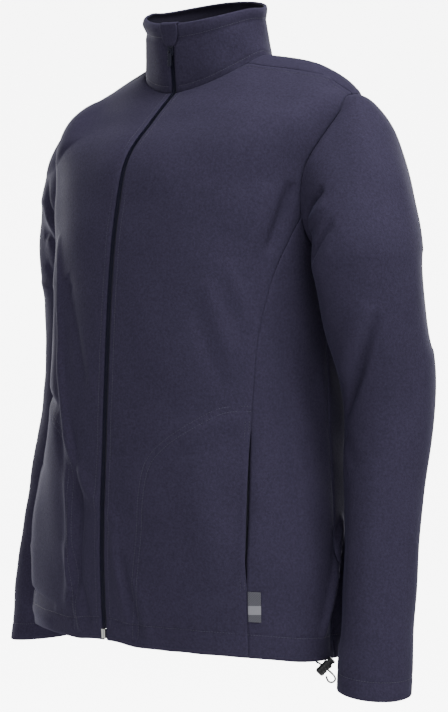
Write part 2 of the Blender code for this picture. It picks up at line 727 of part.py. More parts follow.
def make_bags():
    across = np.linspace(0, 1, 9)
    up = np.linspace(0, 1, 8)
    low, high = level_at_height(BAG_LOW, 0.6), level_at_height(BAG_HIGH, 0.6)
    turns = np.empty((8, 9))
    levels = np.empty((8, 9))
    for row, share in enumerate(up):
        level = low + (high - low) * share
        near = princess_turn(level) + 0.045
        narrowing = 0.22 * share ** 3
        turns[row] = BAG_FAR_TURN + narrowing + (near - BAG_FAR_TURN - narrowing) * across
        levels[row] = level
    belly = np.sin(math.pi * across) ** 0.6
    height = np.sin(math.pi * np.clip(up, 0.02, 0.98)) ** 0.5
    depth = CLOTH + 1.4 * MM + BAG_DEPTH * np.outer(height, belly)
    for name, mirror in (("pocket_bag_left", False), ("pocket_bag_right", True)):
        offset_wall(name, levels, turns, depth, 1.2 * MM, mirror=mirror)


LABEL_WIDE = 0.088              # in turn
LABEL_HIGH = -0.623
LABEL_LOW = -0.657


def make_label():
    low, high = level_at_height(LABEL_LOW, 1.0), level_at_height(LABEL_HIGH, 1.0)
    levels, share = np.meshgrid(np.linspace(low, high, 5), np.linspace(0, 1, 4), indexing="ij")
    start = princess_turn(0.5) + 0.006
    turns = start + share * LABEL_WIDE
    lift = -(0.9 + 0.8 * share) * MM
    offset_wall("side_label", levels, turns, lift, 0.5 * MM, (GREY, 0.8))


# ---- hem drawcord and its lock, at the left side ----

LOCK_CENTRE = np.array([0.2236, -0.0402, -0.7140])
LOCK_AXIS = unit(np.array([0.517, 0.482, 0.707]))
LOCK_CROSS = unit(np.array([0.517, 0.482, -0.707]))
LOCK_SIDE = np.cross(LOCK_AXIS, LOCK_CROSS)
BARREL_RADIUS = 5.3 * MM
BARREL_BORE = 4.3 * MM
BARREL_LOW = -10 * MM
BARREL_HIGH = 7 * MM
RIB = 0.4 * MM
STEM_RADIUS = 3.9 * MM
PRESS = 3 * MM                  # how far the plunger goes in
CORD_DIAMETER = 2.2 * MM
CORD_ROUTE = (
    # metres, from the hem, through the lock, round the loop and back
    (0.2168, -0.0482, -0.7066), (0.2173, -0.0470, -0.7080), (0.2198, -0.0441, -0.7098),
    (0.2227, -0.0414, -0.7128), (0.2258, -0.0378, -0.7168), (0.2284, -0.0340, -0.7208),
    (0.2296, -0.0302, -0.7250), (0.2290, -0.0274, -0.7290), (0.2270, -0.0282, -0.7322),
    (0.2248, -0.0318, -0.7326), (0.2240, -0.0356, -0.7296), (0.2246, -0.0384, -0.7250),
)


def turned(name, profile, origin, finish, segments=20):
    """A solid of revolution round LOCK_AXIS from (distance along, radius) pairs."""
    rings = []
    for along, radius in profile:
        angles = np.arange(segments) * 2 * math.pi / segments
        rings.append(origin + LOCK_AXIS * along
                     + radius * (np.outer(np.cos(angles), LOCK_CROSS)
                                 + np.outer(np.sin(angles), LOCK_SIDE)))
    vertices = np.vstack(rings)
    faces = []
    for ring in range(len(profile) - 1):
        for k in range(segments):
            after = (k + 1) % segments
            faces.append((ring * segments + k, ring * segments + after,
                          (ring + 1) * segments + after, (ring + 1) * segments + k))
    last = (len(profile) - 1) * segments
    faces.append(list(range(segments))[::-1])
    faces.append([last + k for k in range(segments)])
    return add_object(name, vertices, faces, finish, origin)


def lock_slot(name, low, high, half_wide):
    """A cutter across the lock: from low to high along it, and half_wide each side."""
    corners, faces = block((-12 * MM, -half_wide, low), (12 * MM, half_wide, high))
    placed = [LOCK_CENTRE + LOCK_CROSS * x + LOCK_SIDE * y + LOCK_AXIS * z for x, y, z in corners]
    return add_object(name, placed, faces, (BLACK, 0.5), flat=True)


def make_lock():
    plastic = (BLACK, 0.45)
    profile = [(BARREL_LOW, BARREL_RADIUS - 1.2 * MM), (BARREL_LOW + 1 * MM, BARREL_RADIUS)]
    for rib in range(4):
        start = BARREL_LOW + (2.2 + rib * 3.8) * MM
        profile += [(start, BARREL_RADIUS), (start + 0.5 * MM, BARREL_RADIUS + RIB),
                    (start + 1.5 * MM, BARREL_RADIUS + RIB), (start + 2 * MM, BARREL_RADIUS)]
    profile += [(BARREL_HIGH, BARREL_RADIUS)]
    barrel = turned("cord_lock_barrel", profile, LOCK_CENTRE, plastic)
    bore = turned("bore", [(BARREL_LOW + 1.5 * MM, BARREL_BORE), (BARREL_HIGH + 2 * MM, BARREL_BORE)],
                  LOCK_CENTRE, plastic)
    combine(barrel, bore, "DIFFERENCE")
    combine(barrel, lock_slot("slot", -1.8 * MM, 1.8 * MM, 3.0 * MM), "DIFFERENCE")

    stem_low = BARREL_LOW + 1.5 * MM + PRESS + 0.5 * MM
    cap = BARREL_HIGH + PRESS + 0.4 * MM
    plunger = turned("cord_lock_plunger",
                     [(stem_low, STEM_RADIUS), (cap, STEM_RADIUS), (cap, BARREL_RADIUS - 0.6 * MM),
                      (cap + 1.6 * MM, BARREL_RADIUS - 0.6 * MM), (cap + 2.6 * MM, STEM_RADIUS)],
                     LOCK_CENTRE, plastic)
    combine(plunger, lock_slot("gate", -1.8 * MM, 1.8 * MM + PRESS, 3.0 * MM), "DIFFERENCE")


def smooth_route(route, count):
    """Points at equal steps along a smooth curve through a route."""
    dense = smooth_rows(route, np.linspace(0, len(route) - 1, 40 * len(route)))
    return at_fractions(dense, np.linspace(0, 1, count))


def make_cord():
    curve = bpy.data.curves.new("hem_cord", "CURVE")
    curve.dimensions = "3D"
    curve.bevel_depth = CORD_DIAMETER / 2
    curve.bevel_resolution = 2
    curve.use_fill_caps = True
    points = smooth_route(CORD_ROUTE, 26)
    spline = curve.splines.new("POLY")
    spline.points.add(len(points) - 1)
    for place, point in zip(spline.points, points):
        place.co = (*point, 1.0)
    cord = bpy.data.objects.new("hem_cord", curve)
    bpy.context.scene.collection.objects.link(cord)
    add_material(cord, BLACK, 0.8)


def clear_scene():
    for obj in list(bpy.data.objects):
        bpy.data.objects.remove(obj, do_unlink=True)


def build():
    clear_scene()
    make_body()
    make_sleeves()
    make_collar()
    make_zip()
    make_slider()
    make_garage()
    make_bags()
    make_label()
    make_lock()
    make_cord()


build()
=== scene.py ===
import functools
import math

import bpy
import numpy as np
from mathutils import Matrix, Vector


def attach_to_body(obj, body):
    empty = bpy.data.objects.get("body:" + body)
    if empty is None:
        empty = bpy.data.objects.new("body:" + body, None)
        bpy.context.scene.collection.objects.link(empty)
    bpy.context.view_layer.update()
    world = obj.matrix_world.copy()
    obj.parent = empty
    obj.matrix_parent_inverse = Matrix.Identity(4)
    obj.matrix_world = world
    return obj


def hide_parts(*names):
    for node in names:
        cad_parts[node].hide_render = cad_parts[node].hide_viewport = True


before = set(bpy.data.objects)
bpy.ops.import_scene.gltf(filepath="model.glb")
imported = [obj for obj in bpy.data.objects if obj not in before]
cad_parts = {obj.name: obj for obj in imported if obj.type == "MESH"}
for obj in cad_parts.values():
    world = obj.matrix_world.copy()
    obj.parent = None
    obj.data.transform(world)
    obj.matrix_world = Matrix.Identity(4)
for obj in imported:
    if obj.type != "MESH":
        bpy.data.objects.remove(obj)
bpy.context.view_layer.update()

bl_info = {
    "name": "Fleece zip jacket",
    "version": (1, 0, 0),
    "blender": (4, 5, 0),
    "location": "3D View > Sidebar > Jacket",
    "description": "Builds a navy fleece jacket from its panels, seams, zip and hem cord",
    "category": "Object",
}

MM = 0.001

# ---------------------------------------------------------------- the jacket's form

# Rings of the body from hem to neck, metres. side_x, side_z: the side point; mid_y: where the ring
# turns from front to back; front and back: the centre points; square: 2 is an ellipse.
BODY = (
    # name       side_x  side_z   mid_y   front_y front_z  back_y  back_z   square
    ("hem",      0.2210, -0.7050, -0.038, -0.176, -0.690,  0.106, -0.7080, 2.10),
    ("pocket",   0.2190, -0.5900, -0.036, -0.180, -0.585,  0.116, -0.5900, 2.10),
    ("waist",    0.2050, -0.4600, -0.030, -0.176, -0.460,  0.121, -0.4600, 2.10),
    ("ribs",     0.1960, -0.3400, -0.024, -0.170, -0.340,  0.122, -0.3400, 2.15),
    ("armpit",   0.1930, -0.2350, -0.012, -0.164, -0.255,  0.126, -0.2450, 2.20),
    ("chest",    0.2030, -0.1450,  0.006, -0.154, -0.186,  0.130, -0.1650, 2.20),
    ("tip",      0.2120, -0.0550,  0.026, -0.137, -0.126,  0.126, -0.0950, 2.15),
    ("shoulder", 0.1540, -0.0150,  0.036, -0.097, -0.081,  0.112, -0.0340, 2.00),
    ("neck",     0.0910,  0.0000,  0.006, -0.057, -0.043,  0.070, -0.0040, 2.00),
)
NECK = len(BODY) - 1
# How far the hem hangs below its even line: turn in degrees, drop in mm
HEM_WAVE = ((-180, 0.0), (-150, 1.5), (-125, -1.0), (-90, 0.0), (-45, 0.5), (-30, 3.0), (-16, 6.0),
            (-5, 1.5), (-2, 0.0), (3, 0.0), (12, 3.0), (22, 2.0), (32, 0.3), (45, -1.2), (62, -1.5),
            (80, 0.0), (128, 1.5), (155, -1.0), (180, 0.0))
WAVE_FADES = 0.9                # level at which the wave has died away
RIDGE_FALL = 1.5
ARMHOLE_Y, ARMHOLE_Z = 0.012, -0.143
ARMHOLE_FRONT, ARMHOLE_BACK, ARMHOLE_HALF_TALL = 0.057, 0.065, 0.092
ARMHOLE_LEAN, ARMHOLE_SCOOP = 0.018, 0.012

# Sleeve sections, x taken outwards; across and fore are half sizes along X and Y.
SLEEVE_LEFT = (
    # name        x       y       z       across  fore   outer_drop
    ("upper_arm", 0.2560, -0.002, -0.2550, 0.0590, 0.0720, -0.012),
    ("bicep",     0.2610, 0.0100, -0.3300, 0.0560, 0.0670, -0.006),
    ("elbow",     0.2630, 0.0290, -0.4100, 0.0515, 0.0570,  0.000),
    ("forearm",   0.2660, 0.0140, -0.5200, 0.0440, 0.0490,  0.000),
    ("wrist",     0.2705, -0.001, -0.6400, 0.0405, 0.0455,  0.002),
    ("cuff",      0.2750, -0.0135, -0.7380, 0.0405, 0.0440,  0.004),
)
SLEEVE_RIGHT = (
    ("upper_arm", 0.2530, 0.0365, -0.2550, 0.0560, 0.0660, -0.012),
    ("bicep",     0.2580, 0.0480, -0.3300, 0.0550, 0.0610, -0.006),
    ("elbow",     0.2630, 0.0440, -0.4100, 0.0515, 0.0570,  0.000),
    ("forearm",   0.2660, 0.0170, -0.5200, 0.0440, 0.0490,  0.000),
    ("wrist",     0.2735, -0.008, -0.6400, 0.0405, 0.0455,  0.002),
    ("cuff",      0.2795, -0.017, -0.7380, 0.0405, 0.0440,  0.004),
)
SLEEVE_TUCK = 0.050

COLLAR = (
    # name    rise  half_x  mid_y   front_y front_z  back_y  back_z  side_z
    ("seam",  0.0,  0.0910, 0.006, -0.0570, -0.043,  0.0700, -0.004, 0.000),
    ("lower", 0.3,  0.0860, 0.003, -0.0590, -0.020,  0.0660,  0.020, 0.018),
    ("upper", 0.7,  0.0840, 0.000, -0.0615,  0.012,  0.0620,  0.051, 0.040),
    ("edge",  1.0,  0.0850, 0.000, -0.0640,  0.036,  0.0620,  0.075, 0.058),
)
COLLAR_TILT = 0.0045            # its edge stands this much lower on the wearer's left

CLOTH = 2.2 * MM
DOUBLE = 4.4 * MM
HEM_BAND = 25 * MM
CUFF_BAND = 20 * MM
SEAM_OVERLAP = 0.15 * MM        # each panel runs this far past the seam line
ZIP_HALF_OPENING = 4.5 * MM

PRINCESS = ((0.0, 0.93), (1.0, 0.93), (2.0, 0.99), (3.0, 1.04), (4.15, 1.14))
SIDE_SEAM_TURN = math.radians(98)
FRONT_SHARE = 0.35              # where the princess seam meets the armhole, from its top forwards
UNDER_SHARE = 0.55              # and the side seam
SHOULDER_SEAM = [(NECK - 1, math.radians(76)), (NECK - 0.45, math.radians(69)),
                 (NECK, math.radians(66.5))]
SLIT_LOW, SLIT_HIGH = -0.615, -0.440
SLIT_ROWS = 3 * MM, 9 * MM      # rows of topstitching beside the pocket's opening
COLLAR_ROWS = 0.11, 0.80        # and round the collar, as shares of its rise
LABEL_FROM_SEAM = 0.006
BAG_FAR_TURN, BAG_DEPTH = 0.16, 14 * MM
BAG_PAST_SEAM, BAG_SLANT, BAG_GAP = 0.045, 0.22, 1.4 * MM   # turns, and behind the front
BAG_LOW, BAG_HIGH = -0.655, -0.425
LABEL_WIDE, LABEL_LOW, LABEL_HIGH = 0.088, -0.657, -0.623
# The label's paler band: the height of its middle, and half its height
BAND_MIDDLE, BAND_HALF = LABEL_LOW + 0.4 * (LABEL_HIGH - LABEL_LOW), 5 * MM
ZIP_ROW = 11 * MM               # the row of topstitching beside the zip
SHOULDER_ROW = 7 * MM           # and the one beside the shoulder seam
SHOULDER_RADIUS = 0.115         # turns a distance along the cloth there into a turn
FRONT_TO_SHOULDER = 0.55        # the body curves less at the pocket, so it needs less turn
POCKET_DEGREE = 3.4 * MM        # length of cloth in a degree of turn, at the pocket
ZIP_CALM, CALMED = 10 * MM, 0.85  # this near the zip, this much of each fold dies away
POCKET_ROWS = 0.0, 6 * MM       # the two rows that hold the pocket bag, from its outline
SIDES = ((1, "left"), (-1, "right"))


def smooth_curve(start, end, leave, arrive, part):
    """A point part of the way from start to end, on the curve that leaves and arrives so."""
    return (start * (1 + 2 * part) * (1 - part) ** 2 + leave * part * (1 - part) ** 2
            + end * part ** 2 * (3 - 2 * part) - arrive * part ** 2 * (1 - part))


def smooth_rows(table, position):
    """The table's row at a fractional position, on a smooth curve through its rows."""
    table = np.asarray(table, float)
    position = np.clip(np.asarray(position, float), 0, len(table) - 1)
    low = np.minimum(position.astype(int), len(table) - 2)
    part = (position - low)[..., None]
    before = table[np.maximum(low - 1, 0)]
    start, end = table[low], table[low + 1]
    after = table[np.minimum(low + 2, len(table) - 1)]
    return smooth_curve(start, end, (end - before) / 2, (after - start) / 2, part)


def signed_power(value, exponent):
    return np.sign(value) * np.abs(value) ** exponent


def ring_point(columns, turn, square):
    """A point of a ring given its size columns."""
    side_x, side_z, mid_y, front_y, front_z, back_y, back_z = columns
    ahead = signed_power(np.cos(turn), 2 / square)
    end_y = np.where(ahead > 0, front_y, back_y)
    end_z = np.where(ahead > 0, front_z, back_z)
    return np.stack([side_x * signed_power(np.sin(turn), 2 / square),
                     mid_y + (end_y - mid_y) * np.abs(ahead),
                     side_z + (end_z - side_z) * np.abs(ahead) ** RIDGE_FALL], -1)


def body_point(level, turn):
    """A point of the body form: level is a fractional row of BODY, turn is round the body."""
    level, turn = np.broadcast_arrays(np.asarray(level, float), np.asarray(turn, float))
    columns = np.moveaxis(smooth_rows([row[1:] for row in BODY], level), -1, 0)
    points = ring_point(columns[:7], turn, columns[7])
    points[..., 2] -= hem_wave(turn) * np.clip(1 - level / WAVE_FADES, 0, 1) ** 2
    return points


def hem_wave(turn):
    """How far the hem hangs below its even line at each turn."""
    degrees = np.degrees((turn + math.pi) % (2 * math.pi) - math.pi)
    position = np.interp(degrees, [row[0] for row in HEM_WAVE], np.arange(len(HEM_WAVE)))
    low = np.minimum(position.astype(int), len(HEM_WAVE) - 2)
    part = position - low
    drop = np.array([row[1] for row in HEM_WAVE]) * MM
    return drop[low] + (drop[low + 1] - drop[low]) * part ** 2 * (3 - 2 * part)


def collar_point(rise, turn):
    rise, turn = np.broadcast_arrays(np.asarray(rise, float), np.asarray(turn, float))
    position = np.interp(rise, [row[1] for row in COLLAR], np.arange(len(COLLAR)))
    half_x, mid_y, front_y, front_z, back_y, back_z, side_z = np.moveaxis(
        smooth_rows([row[2:] for row in COLLAR], position), -1, 0)
    points = ring_point((half_x, side_z, mid_y, front_y, front_z, back_y, back_z), turn, 2.0)
    points[..., 2] -= COLLAR_TILT * rise * np.sin(turn)
    return points


NEAR = 0.01                     # steps in level, rise and turn that slopes are taken over


def unit(vectors):
    return vectors / np.maximum(np.linalg.norm(vectors, axis=-1, keepdims=True), 1e-12)


def form_normal(form, first, second):
    """Outward normals of a form, from points a little to each side."""
    along_first = form(first + NEAR, second) - form(first - NEAR, second)
    along_second = form(first, second + NEAR) - form(first, second - NEAR)
    return unit(np.cross(along_second, along_first))


def body_normal(level, turn):
    return form_normal(body_point, np.clip(level, NEAR, NECK - NEAR), turn)


LOOP = 200                      # points round an armhole
TINY = 1e-4


def armhole_places():
    """(level, turn) round the left armhole, from its top and forwards."""
    places = []
    guess = np.array([6.1, math.radians(90)])
    for step in range(LOOP):
        angle = 2 * math.pi * step / LOOP
        ahead = math.sin(angle) > 0
        half_wide = ARMHOLE_FRONT if ahead else ARMHOLE_BACK
        scoop = ARMHOLE_SCOOP * max(math.sin(2 * angle), 0) ** 2 * ahead
        goal = np.array([ARMHOLE_Y - half_wide * math.sin(angle)
                         + ARMHOLE_LEAN * math.cos(angle) + scoop,
                         ARMHOLE_Z + ARMHOLE_HALF_TALL * math.cos(angle)])
        for _ in range(40):
            miss = body_point(*guess)[1:] - goal
            if np.abs(miss).max() < 1e-7:
                break
            slope = np.stack([(body_point(*(guess + aside))[1:] - goal - miss) / TINY
                              for aside in np.eye(2) * TINY], 1)
            guess = guess - np.clip(np.linalg.solve(slope, miss), -0.3, 0.3)
        places.append(guess.copy())
    return np.array(places)


def run_along(points):
    """Distance along a line of points, or along many side by side, from the first to each."""
    steps = np.linalg.norm(np.diff(points, axis=0), axis=-1)
    return np.concatenate([np.zeros_like(steps[:1]), np.cumsum(steps, axis=0)])


def at_fractions(points, fractions):
    """Points at fractions of the way along a polyline."""
    points = np.asarray(points, float)
    run = run_along(points)
    return np.stack([np.interp(fractions, run / run[-1], column) for column in points.T], 1)


armhole = armhole_places()


def loop_part(start, end, count):
    """The armhole from one share of its way round to another."""
    places = np.linspace(start, end, count) * LOOP
    low = np.floor(places).astype(int)
    part = (places - low)[:, None]
    return armhole[low % LOOP] * (1 - part) + armhole[(low + 1) % LOOP] * part


def princess_turn(level):
    return np.interp(level, *np.array(PRINCESS).T)


def seam_from_hem(turn_of, share):
    """(level, turn) from the hem to a share of the way round the armhole."""
    end = loop_part(share, share, 1)[0]
    levels = np.linspace(0, end[0], 120)
    turns = turn_of(levels)
    return np.stack([levels, turns + (end[1] - turns[-1]) * (levels / end[0]) ** 6], 1)


princess_seam = seam_from_hem(princess_turn, FRONT_SHARE)
side_seam = seam_from_hem(lambda levels: np.full(len(levels), SIDE_SEAM_TURN), UNDER_SHARE)
shoulder_seam = at_fractions([armhole[0], *SHOULDER_SEAM], np.linspace(0, 1, 40))


def beside_zip(distance, levels=np.linspace(0, NECK, 220)):
    """(level, turn) at a distance from the front centre, along X."""
    half, square = smooth_rows([(row[1], row[8]) for row in BODY], levels).T
    return np.stack([levels, np.arcsin((distance / half) ** (square / 2))], 1)


# ---------------------------------------------------------------- seams and folds as height fields

def level_at(height, turn):
    """The level at which the form reaches each height, at each turn."""
    levels = np.linspace(0, 6.5, 260)
    heights = body_point(levels[None, :], np.asarray(turn)[:, None])[..., 2]
    return np.array([np.interp(z, row, levels) for z, row in zip(height, heights)])


def body_places(turns, heights, count=28):
    """(level, turn) along a smooth curve through (turn in degrees, height in metres) points."""
    position = np.linspace(0, len(turns) - 1, count)
    route = smooth_rows(np.stack([np.radians(turns), heights], 1), position)
    return np.stack([level_at(route[:, 1], route[:, 0]), route[:, 0]], 1)


def nearest(points, line):
    """Distance from each point to a line, and how far along the line that is."""
    best = np.full(len(points), 1e9)
    share = np.zeros(len(points))
    count = len(line) - 1
    for k in range(count):
        step = line[k + 1] - line[k]
        part = np.clip(((points - line[k]) @ step) / max(step @ step, 1e-12), 0, 1)
        gap = points - line[k] - part[:, None] * step
        distance = (gap ** 2).sum(1)
        closer = distance < best
        best[closer] = distance[closer]
        share[closer] = (k + part[closer]) / count
    return np.sqrt(best), share


def near_only(points, line, reach):
    """Which points lie in the line's box grown by reach, to save work."""
    low, high = line.min(0) - reach, line.max(0) + reach
    return np.all((points > low) & (points < high), axis=1)


def crease(points, line, width, height, fade=0.5):
    """A soft ridge, or a trough where height is negative, that fades out at both ends."""
    field = np.zeros(len(points))
    inside = near_only(points, line, 3 * width)
    if inside.any():
        distance, share = nearest(points[inside], line)
        ends = np.sin(np.pi * np.clip(share, 0.001, 0.999)) ** fade if fade else 1.0
        field[inside] = height * np.exp(-(distance / width) ** 2) * ends
    return field


# Folds of the body. Turns in degrees, positive to the wearer's left, heights in metres, width and
# height in millimetres; a negative height is a trough.
BODY_FOLDS = (
    # where                        turns                 heights                       width height
    ("chest to armhole",          (68, 67, 64),         (-0.158, -0.196, -0.238),      7,  -6.5),
    ("beside it",                 (57, 58, 54),         (-0.160, -0.205, -0.265),     10,   3.0),
    ("upper chest drag",          (38, 44, 50),         (-0.270, -0.312, -0.360),      9,   2.2),
    ("second drag",               (46, 52, 58),         (-0.245, -0.285, -0.330),      9,   2.0),
    ("below the drag",            (34, 40, 47),         (-0.300, -0.345, -0.395),     10,  -2.0),
    ("side, long",                (72, 71, 76),         (-0.290, -0.440, -0.600),     14,  -2.4),
    ("side, behind it",           (80, 79, 83),         (-0.400, -0.480, -0.620),     13,   1.2),
    ("beside the sleeve",         (92, 90, 94),         (-0.270, -0.400, -0.520),     14,  -1.4),
    ("filled behind the sleeve",  (118, 116, 118),      (-0.300, -0.430, -0.580),     30,   7.0),
    ("right waist, drawn in",     (-62, -58, -56),      (-0.280, -0.430, -0.600),     52,  -6.5),
    ("left pocket top",           (30, 42, 54),         (-0.455, -0.436, -0.428),     12,   2.4),
    ("left pocket belly",         (34, 38, 40),         (-0.470, -0.540, -0.620),     26,   3.5),
    ("left of the zip, low",      (7, 10, 14),          (-0.585, -0.630, -0.684),      6,  -3.4),
    ("left of the zip, ridge",    (4, 6, 10),           (-0.560, -0.610, -0.678),      6,   3.0),
    ("left of the zip, outer",    (12, 15, 18),         (-0.610, -0.650, -0.690),      7,   1.8),
    ("right of the zip, low",     (-5, -8, -12),        (-0.680, -0.640, -0.590),      6,  -3.2),
    ("right of the zip, ridge",   (-9, -13, -17),       (-0.685, -0.640, -0.580),      6,   3.0),
    ("right front ridge",         (-36, -30, -23, -15, 7.5),
     (-0.215, -0.300, -0.400, -0.480, -0.560), 8, 6.0),
    ("behind that ridge",         (-44, -38, -31, -23, -5.5),
     (-0.225, -0.310, -0.400, -0.470, -0.550), 10, -4.0),
    ("right front trough",        (-26, -18, -8),       (-0.265, -0.310, -0.390),     11,  -5.5),
    ("right front upper ridge",   (-22, -14, -4),       (-0.280, -0.330, -0.410),      9,   3.4),
    ("right front lower trough",  (-17, -11, -10, -13), (-0.440, -0.520, -0.590, -0.650), 7, -6.0),
    ("right front lower ridge",   (-22, -16, -14, -17), (-0.450, -0.530, -0.600, -0.660), 8, 4.2),
    ("right waist nick",          (-66, -48, -30),      (-0.398, -0.412, -0.424),      8,  -6.5),
    ("right pocket belly",        (-50, -50, -48),      (-0.500, -0.580, -0.660),     30,   5.0),
    ("right hem, drawn in",       (-66, -44, -24),      (-0.652, -0.658, -0.664),      5,  -4.5),
    ("right hem, band",           (-64, -44, -26),      (-0.676, -0.680, -0.684),      8,   2.6),
    ("cord pucker, front",        (105, 97, 88),        (-0.545, -0.610, -0.684),      4.5, 7.5),
    ("cord pucker, back",         (106, 105, 104),      (-0.560, -0.625, -0.690),      5,   6.5),
    ("between the puckers",       (101, 98, 96),        (-0.605, -0.650, -0.700),      6,  -6.0),
    ("behind the pucker",         (114, 113, 112),      (-0.600, -0.650, -0.695),      9,  -3.0),
    ("shoulder drag, left",       (52, 50, 44),         (-0.100, -0.150, -0.215),     16,   2.0),
    ("shoulder drag, right",      (-50, -48, -42),      (-0.100, -0.150, -0.220),     16,   2.0),
    ("right shoulder, fuller",    (-66, -55, -46, -40), (-0.050, -0.066, -0.088, -0.112), 26, 9.0),
    ("left shoulder, flatter",    (84, 87, 91),         (-0.030, -0.043, -0.054),     24,  -5.5),
    ("right armhole",             (-66, -67, -63),      (-0.150, -0.200, -0.255),      9,  -4.0),
    ("back, left blade",          (142, 150, 163),      (-0.170, -0.260, -0.350),     18,  -3.5),
    ("back, right blade",         (-140, -149, -165),   (-0.160, -0.250, -0.360),     17,  -3.8),
    ("back, left drag",           (128, 138, 152),      (-0.250, -0.330, -0.420),     13,   3.0),
    ("back, right drag",          (-126, -138, -150),   (-0.240, -0.320, -0.430),     14,   3.2),
    ("back, waist upper",         (150, 178, -154),     (-0.430, -0.446, -0.436),     13,  -3.6),
    ("back, waist lower",         (160, 184, -158),     (-0.475, -0.490, -0.470),     15,   2.8),
    ("back, low left",            (140, 143, 139),      (-0.500, -0.590, -0.690),     16,  -3.4),
    ("back, low right",           (-144, -139, -142),   (-0.520, -0.600, -0.690),     15,  -3.0),
    ("back, low middle",          (172, 176, 171),      (-0.560, -0.630, -0.695),     14,   2.4),
    ("right side, long",          (-100, -96, -99),     (-0.300, -0.430, -0.600),     13,  -3.6),
    ("right hem",                 (-108, -104, -101),   (-0.600, -0.650, -0.695),      9,  -2.6),
)


def body_folds(points):
    """All the body's folds at the given points, and a little unevenness everywhere."""
    strength = settings().fold_strength
    field = uneven(points, 0.9 * MM * strength, 85 * MM, 11)
    for _, turns, heights, width, height in BODY_FOLDS:
        turns = np.array(turns, float)
        if turns.max() > 90 and turns.min() < -90:
            turns[turns < 0] += 360
        field += crease(points, body_point(*body_places(turns, heights).T), width * MM,
                        height * MM * strength)
    return field


def uneven(points, height, wavelength, seed):
    """Slow smooth unevenness, as cloth has that was worn before."""
    random = np.random.default_rng(seed)
    field = np.zeros(len(points))
    for _ in range(9):
        direction = unit(random.normal(size=3))
        length = wavelength * random.uniform(0.6, 1.6)
        field += np.sin(points @ direction * 2 * math.pi / length + random.uniform(0, 2 * math.pi))
    return field * height / 3


POCKET_ARC = (
    # turn in degrees, height
    (57.3, -0.413), (45.0, -0.416), (33.8, -0.433), (22.9, -0.4565), (16.3, -0.483),
    (14.0, -0.523), (13.2, -0.558), (11.6, -0.620), (11.0, -0.684),
)


def pocket_arc(side, inset):
    """The sewn outline of the pocket bag; inset moves it towards the pocket."""
    turns, heights = np.array(POCKET_ARC).T
    turns = turns + inset / POCKET_DEGREE
    heights = heights - inset * np.linspace(1, 0, len(turns))
    turns[0] = POCKET_ARC[0][0]
    return body_places(side * turns, heights, 90)


def hem_places(start=-math.pi, end=math.pi, count=300):
    """(level, turn) round the body at the top of its hem band."""
    turn = np.linspace(start, end, count)
    return np.stack([level_at(body_point(0.0, turn)[:, 2] + HEM_BAND, turn), turn], 1)


@functools.lru_cache(maxsize=None)
def pulled_seams():
    """Lines where stitching pulls the cloth in, with each groove's width and depth in mm."""
    grooves = []
    for side, _ in SIDES:
        grooves += [
            (princess_seam * (1, side), 2.2, 0.55),
            (side_seam * (1, side), 2.2, 0.9),
            (shoulder_seam * (1, side), 1.8, 0.6),
            (np.vstack([armhole, armhole[:1]]) * (1, side), 2.2, 0.8),
            (offset_seam(shoulder_seam, SHOULDER_ROW) * (1, side), 1.5, 0.35),
            *((pocket_arc(side, inset), 1.6, 0.75) for inset in POCKET_ROWS),
            (beside_zip(ZIP_HALF_OPENING) * (1, side), 1.6, 0.8),
            (beside_zip(ZIP_ROW) * (1, side), 1.6, 0.6),
        ]
    grooves.append((hem_places(), 1.8, 0.9))
    return [(body_point(*places.T), width, depth) for places, width, depth in grooves]


def seam_field(points):
    """How far seams pull the cloth in at each point."""
    field = neck_groove(points)
    for line, width, depth in pulled_seams():
        field += crease(points, line, width * MM, -depth * MM, fade=0)
    return field


def neck_groove(points):
    """The pull of the seam between body and collar."""
    turn = np.linspace(-math.pi, math.pi, 120)
    return crease(points, body_point(float(NECK), turn), 2.6 * MM, -1.1 * MM, fade=0)


def offset_seam(places, distance):
    """Places beside a seam, a distance towards the front."""
    return places - (0.0, distance / SHOULDER_RADIUS)


def body_cover(grid):
    """How far the body's cloth stands off its form, in folds and at seams."""
    points = grid.reshape(-1, 3)
    calm = 1 - CALMED * np.exp(-(points[:, 0] / ZIP_CALM) ** 2) * (points[:, 1] < 0)
    return (body_folds(points) * calm + seam_field(points)).reshape(grid.shape[:-1])


# ---------------------------------------------------------------- meshes

def settings():
    return bpy.context.scene.jacket


def link(obj):
    bpy.context.scene.collection.objects.link(obj)
    return obj


def mesh_object(name, vertices, faces, material):
    mesh = bpy.data.meshes.new(name)
    mesh.from_pydata(np.asarray(vertices, float).tolist(), [], faces)
    mesh.validate()
    mesh.shade_smooth()
    mesh.materials.append(material)
    return link(bpy.data.objects.new(name, mesh))


def grid_normals(grid, around=False):
    """Normals of a grid of points, from its own columns and rows."""
    if around:
        across = np.roll(grid, -1, axis=1) - np.roll(grid, 1, axis=1)
    else:
        across = np.gradient(grid, axis=1)
    return unit(np.cross(across, np.gradient(grid, axis=0)))


RIM_ANGLES = [math.pi * step / 4 for step in (1, 2, 3)]


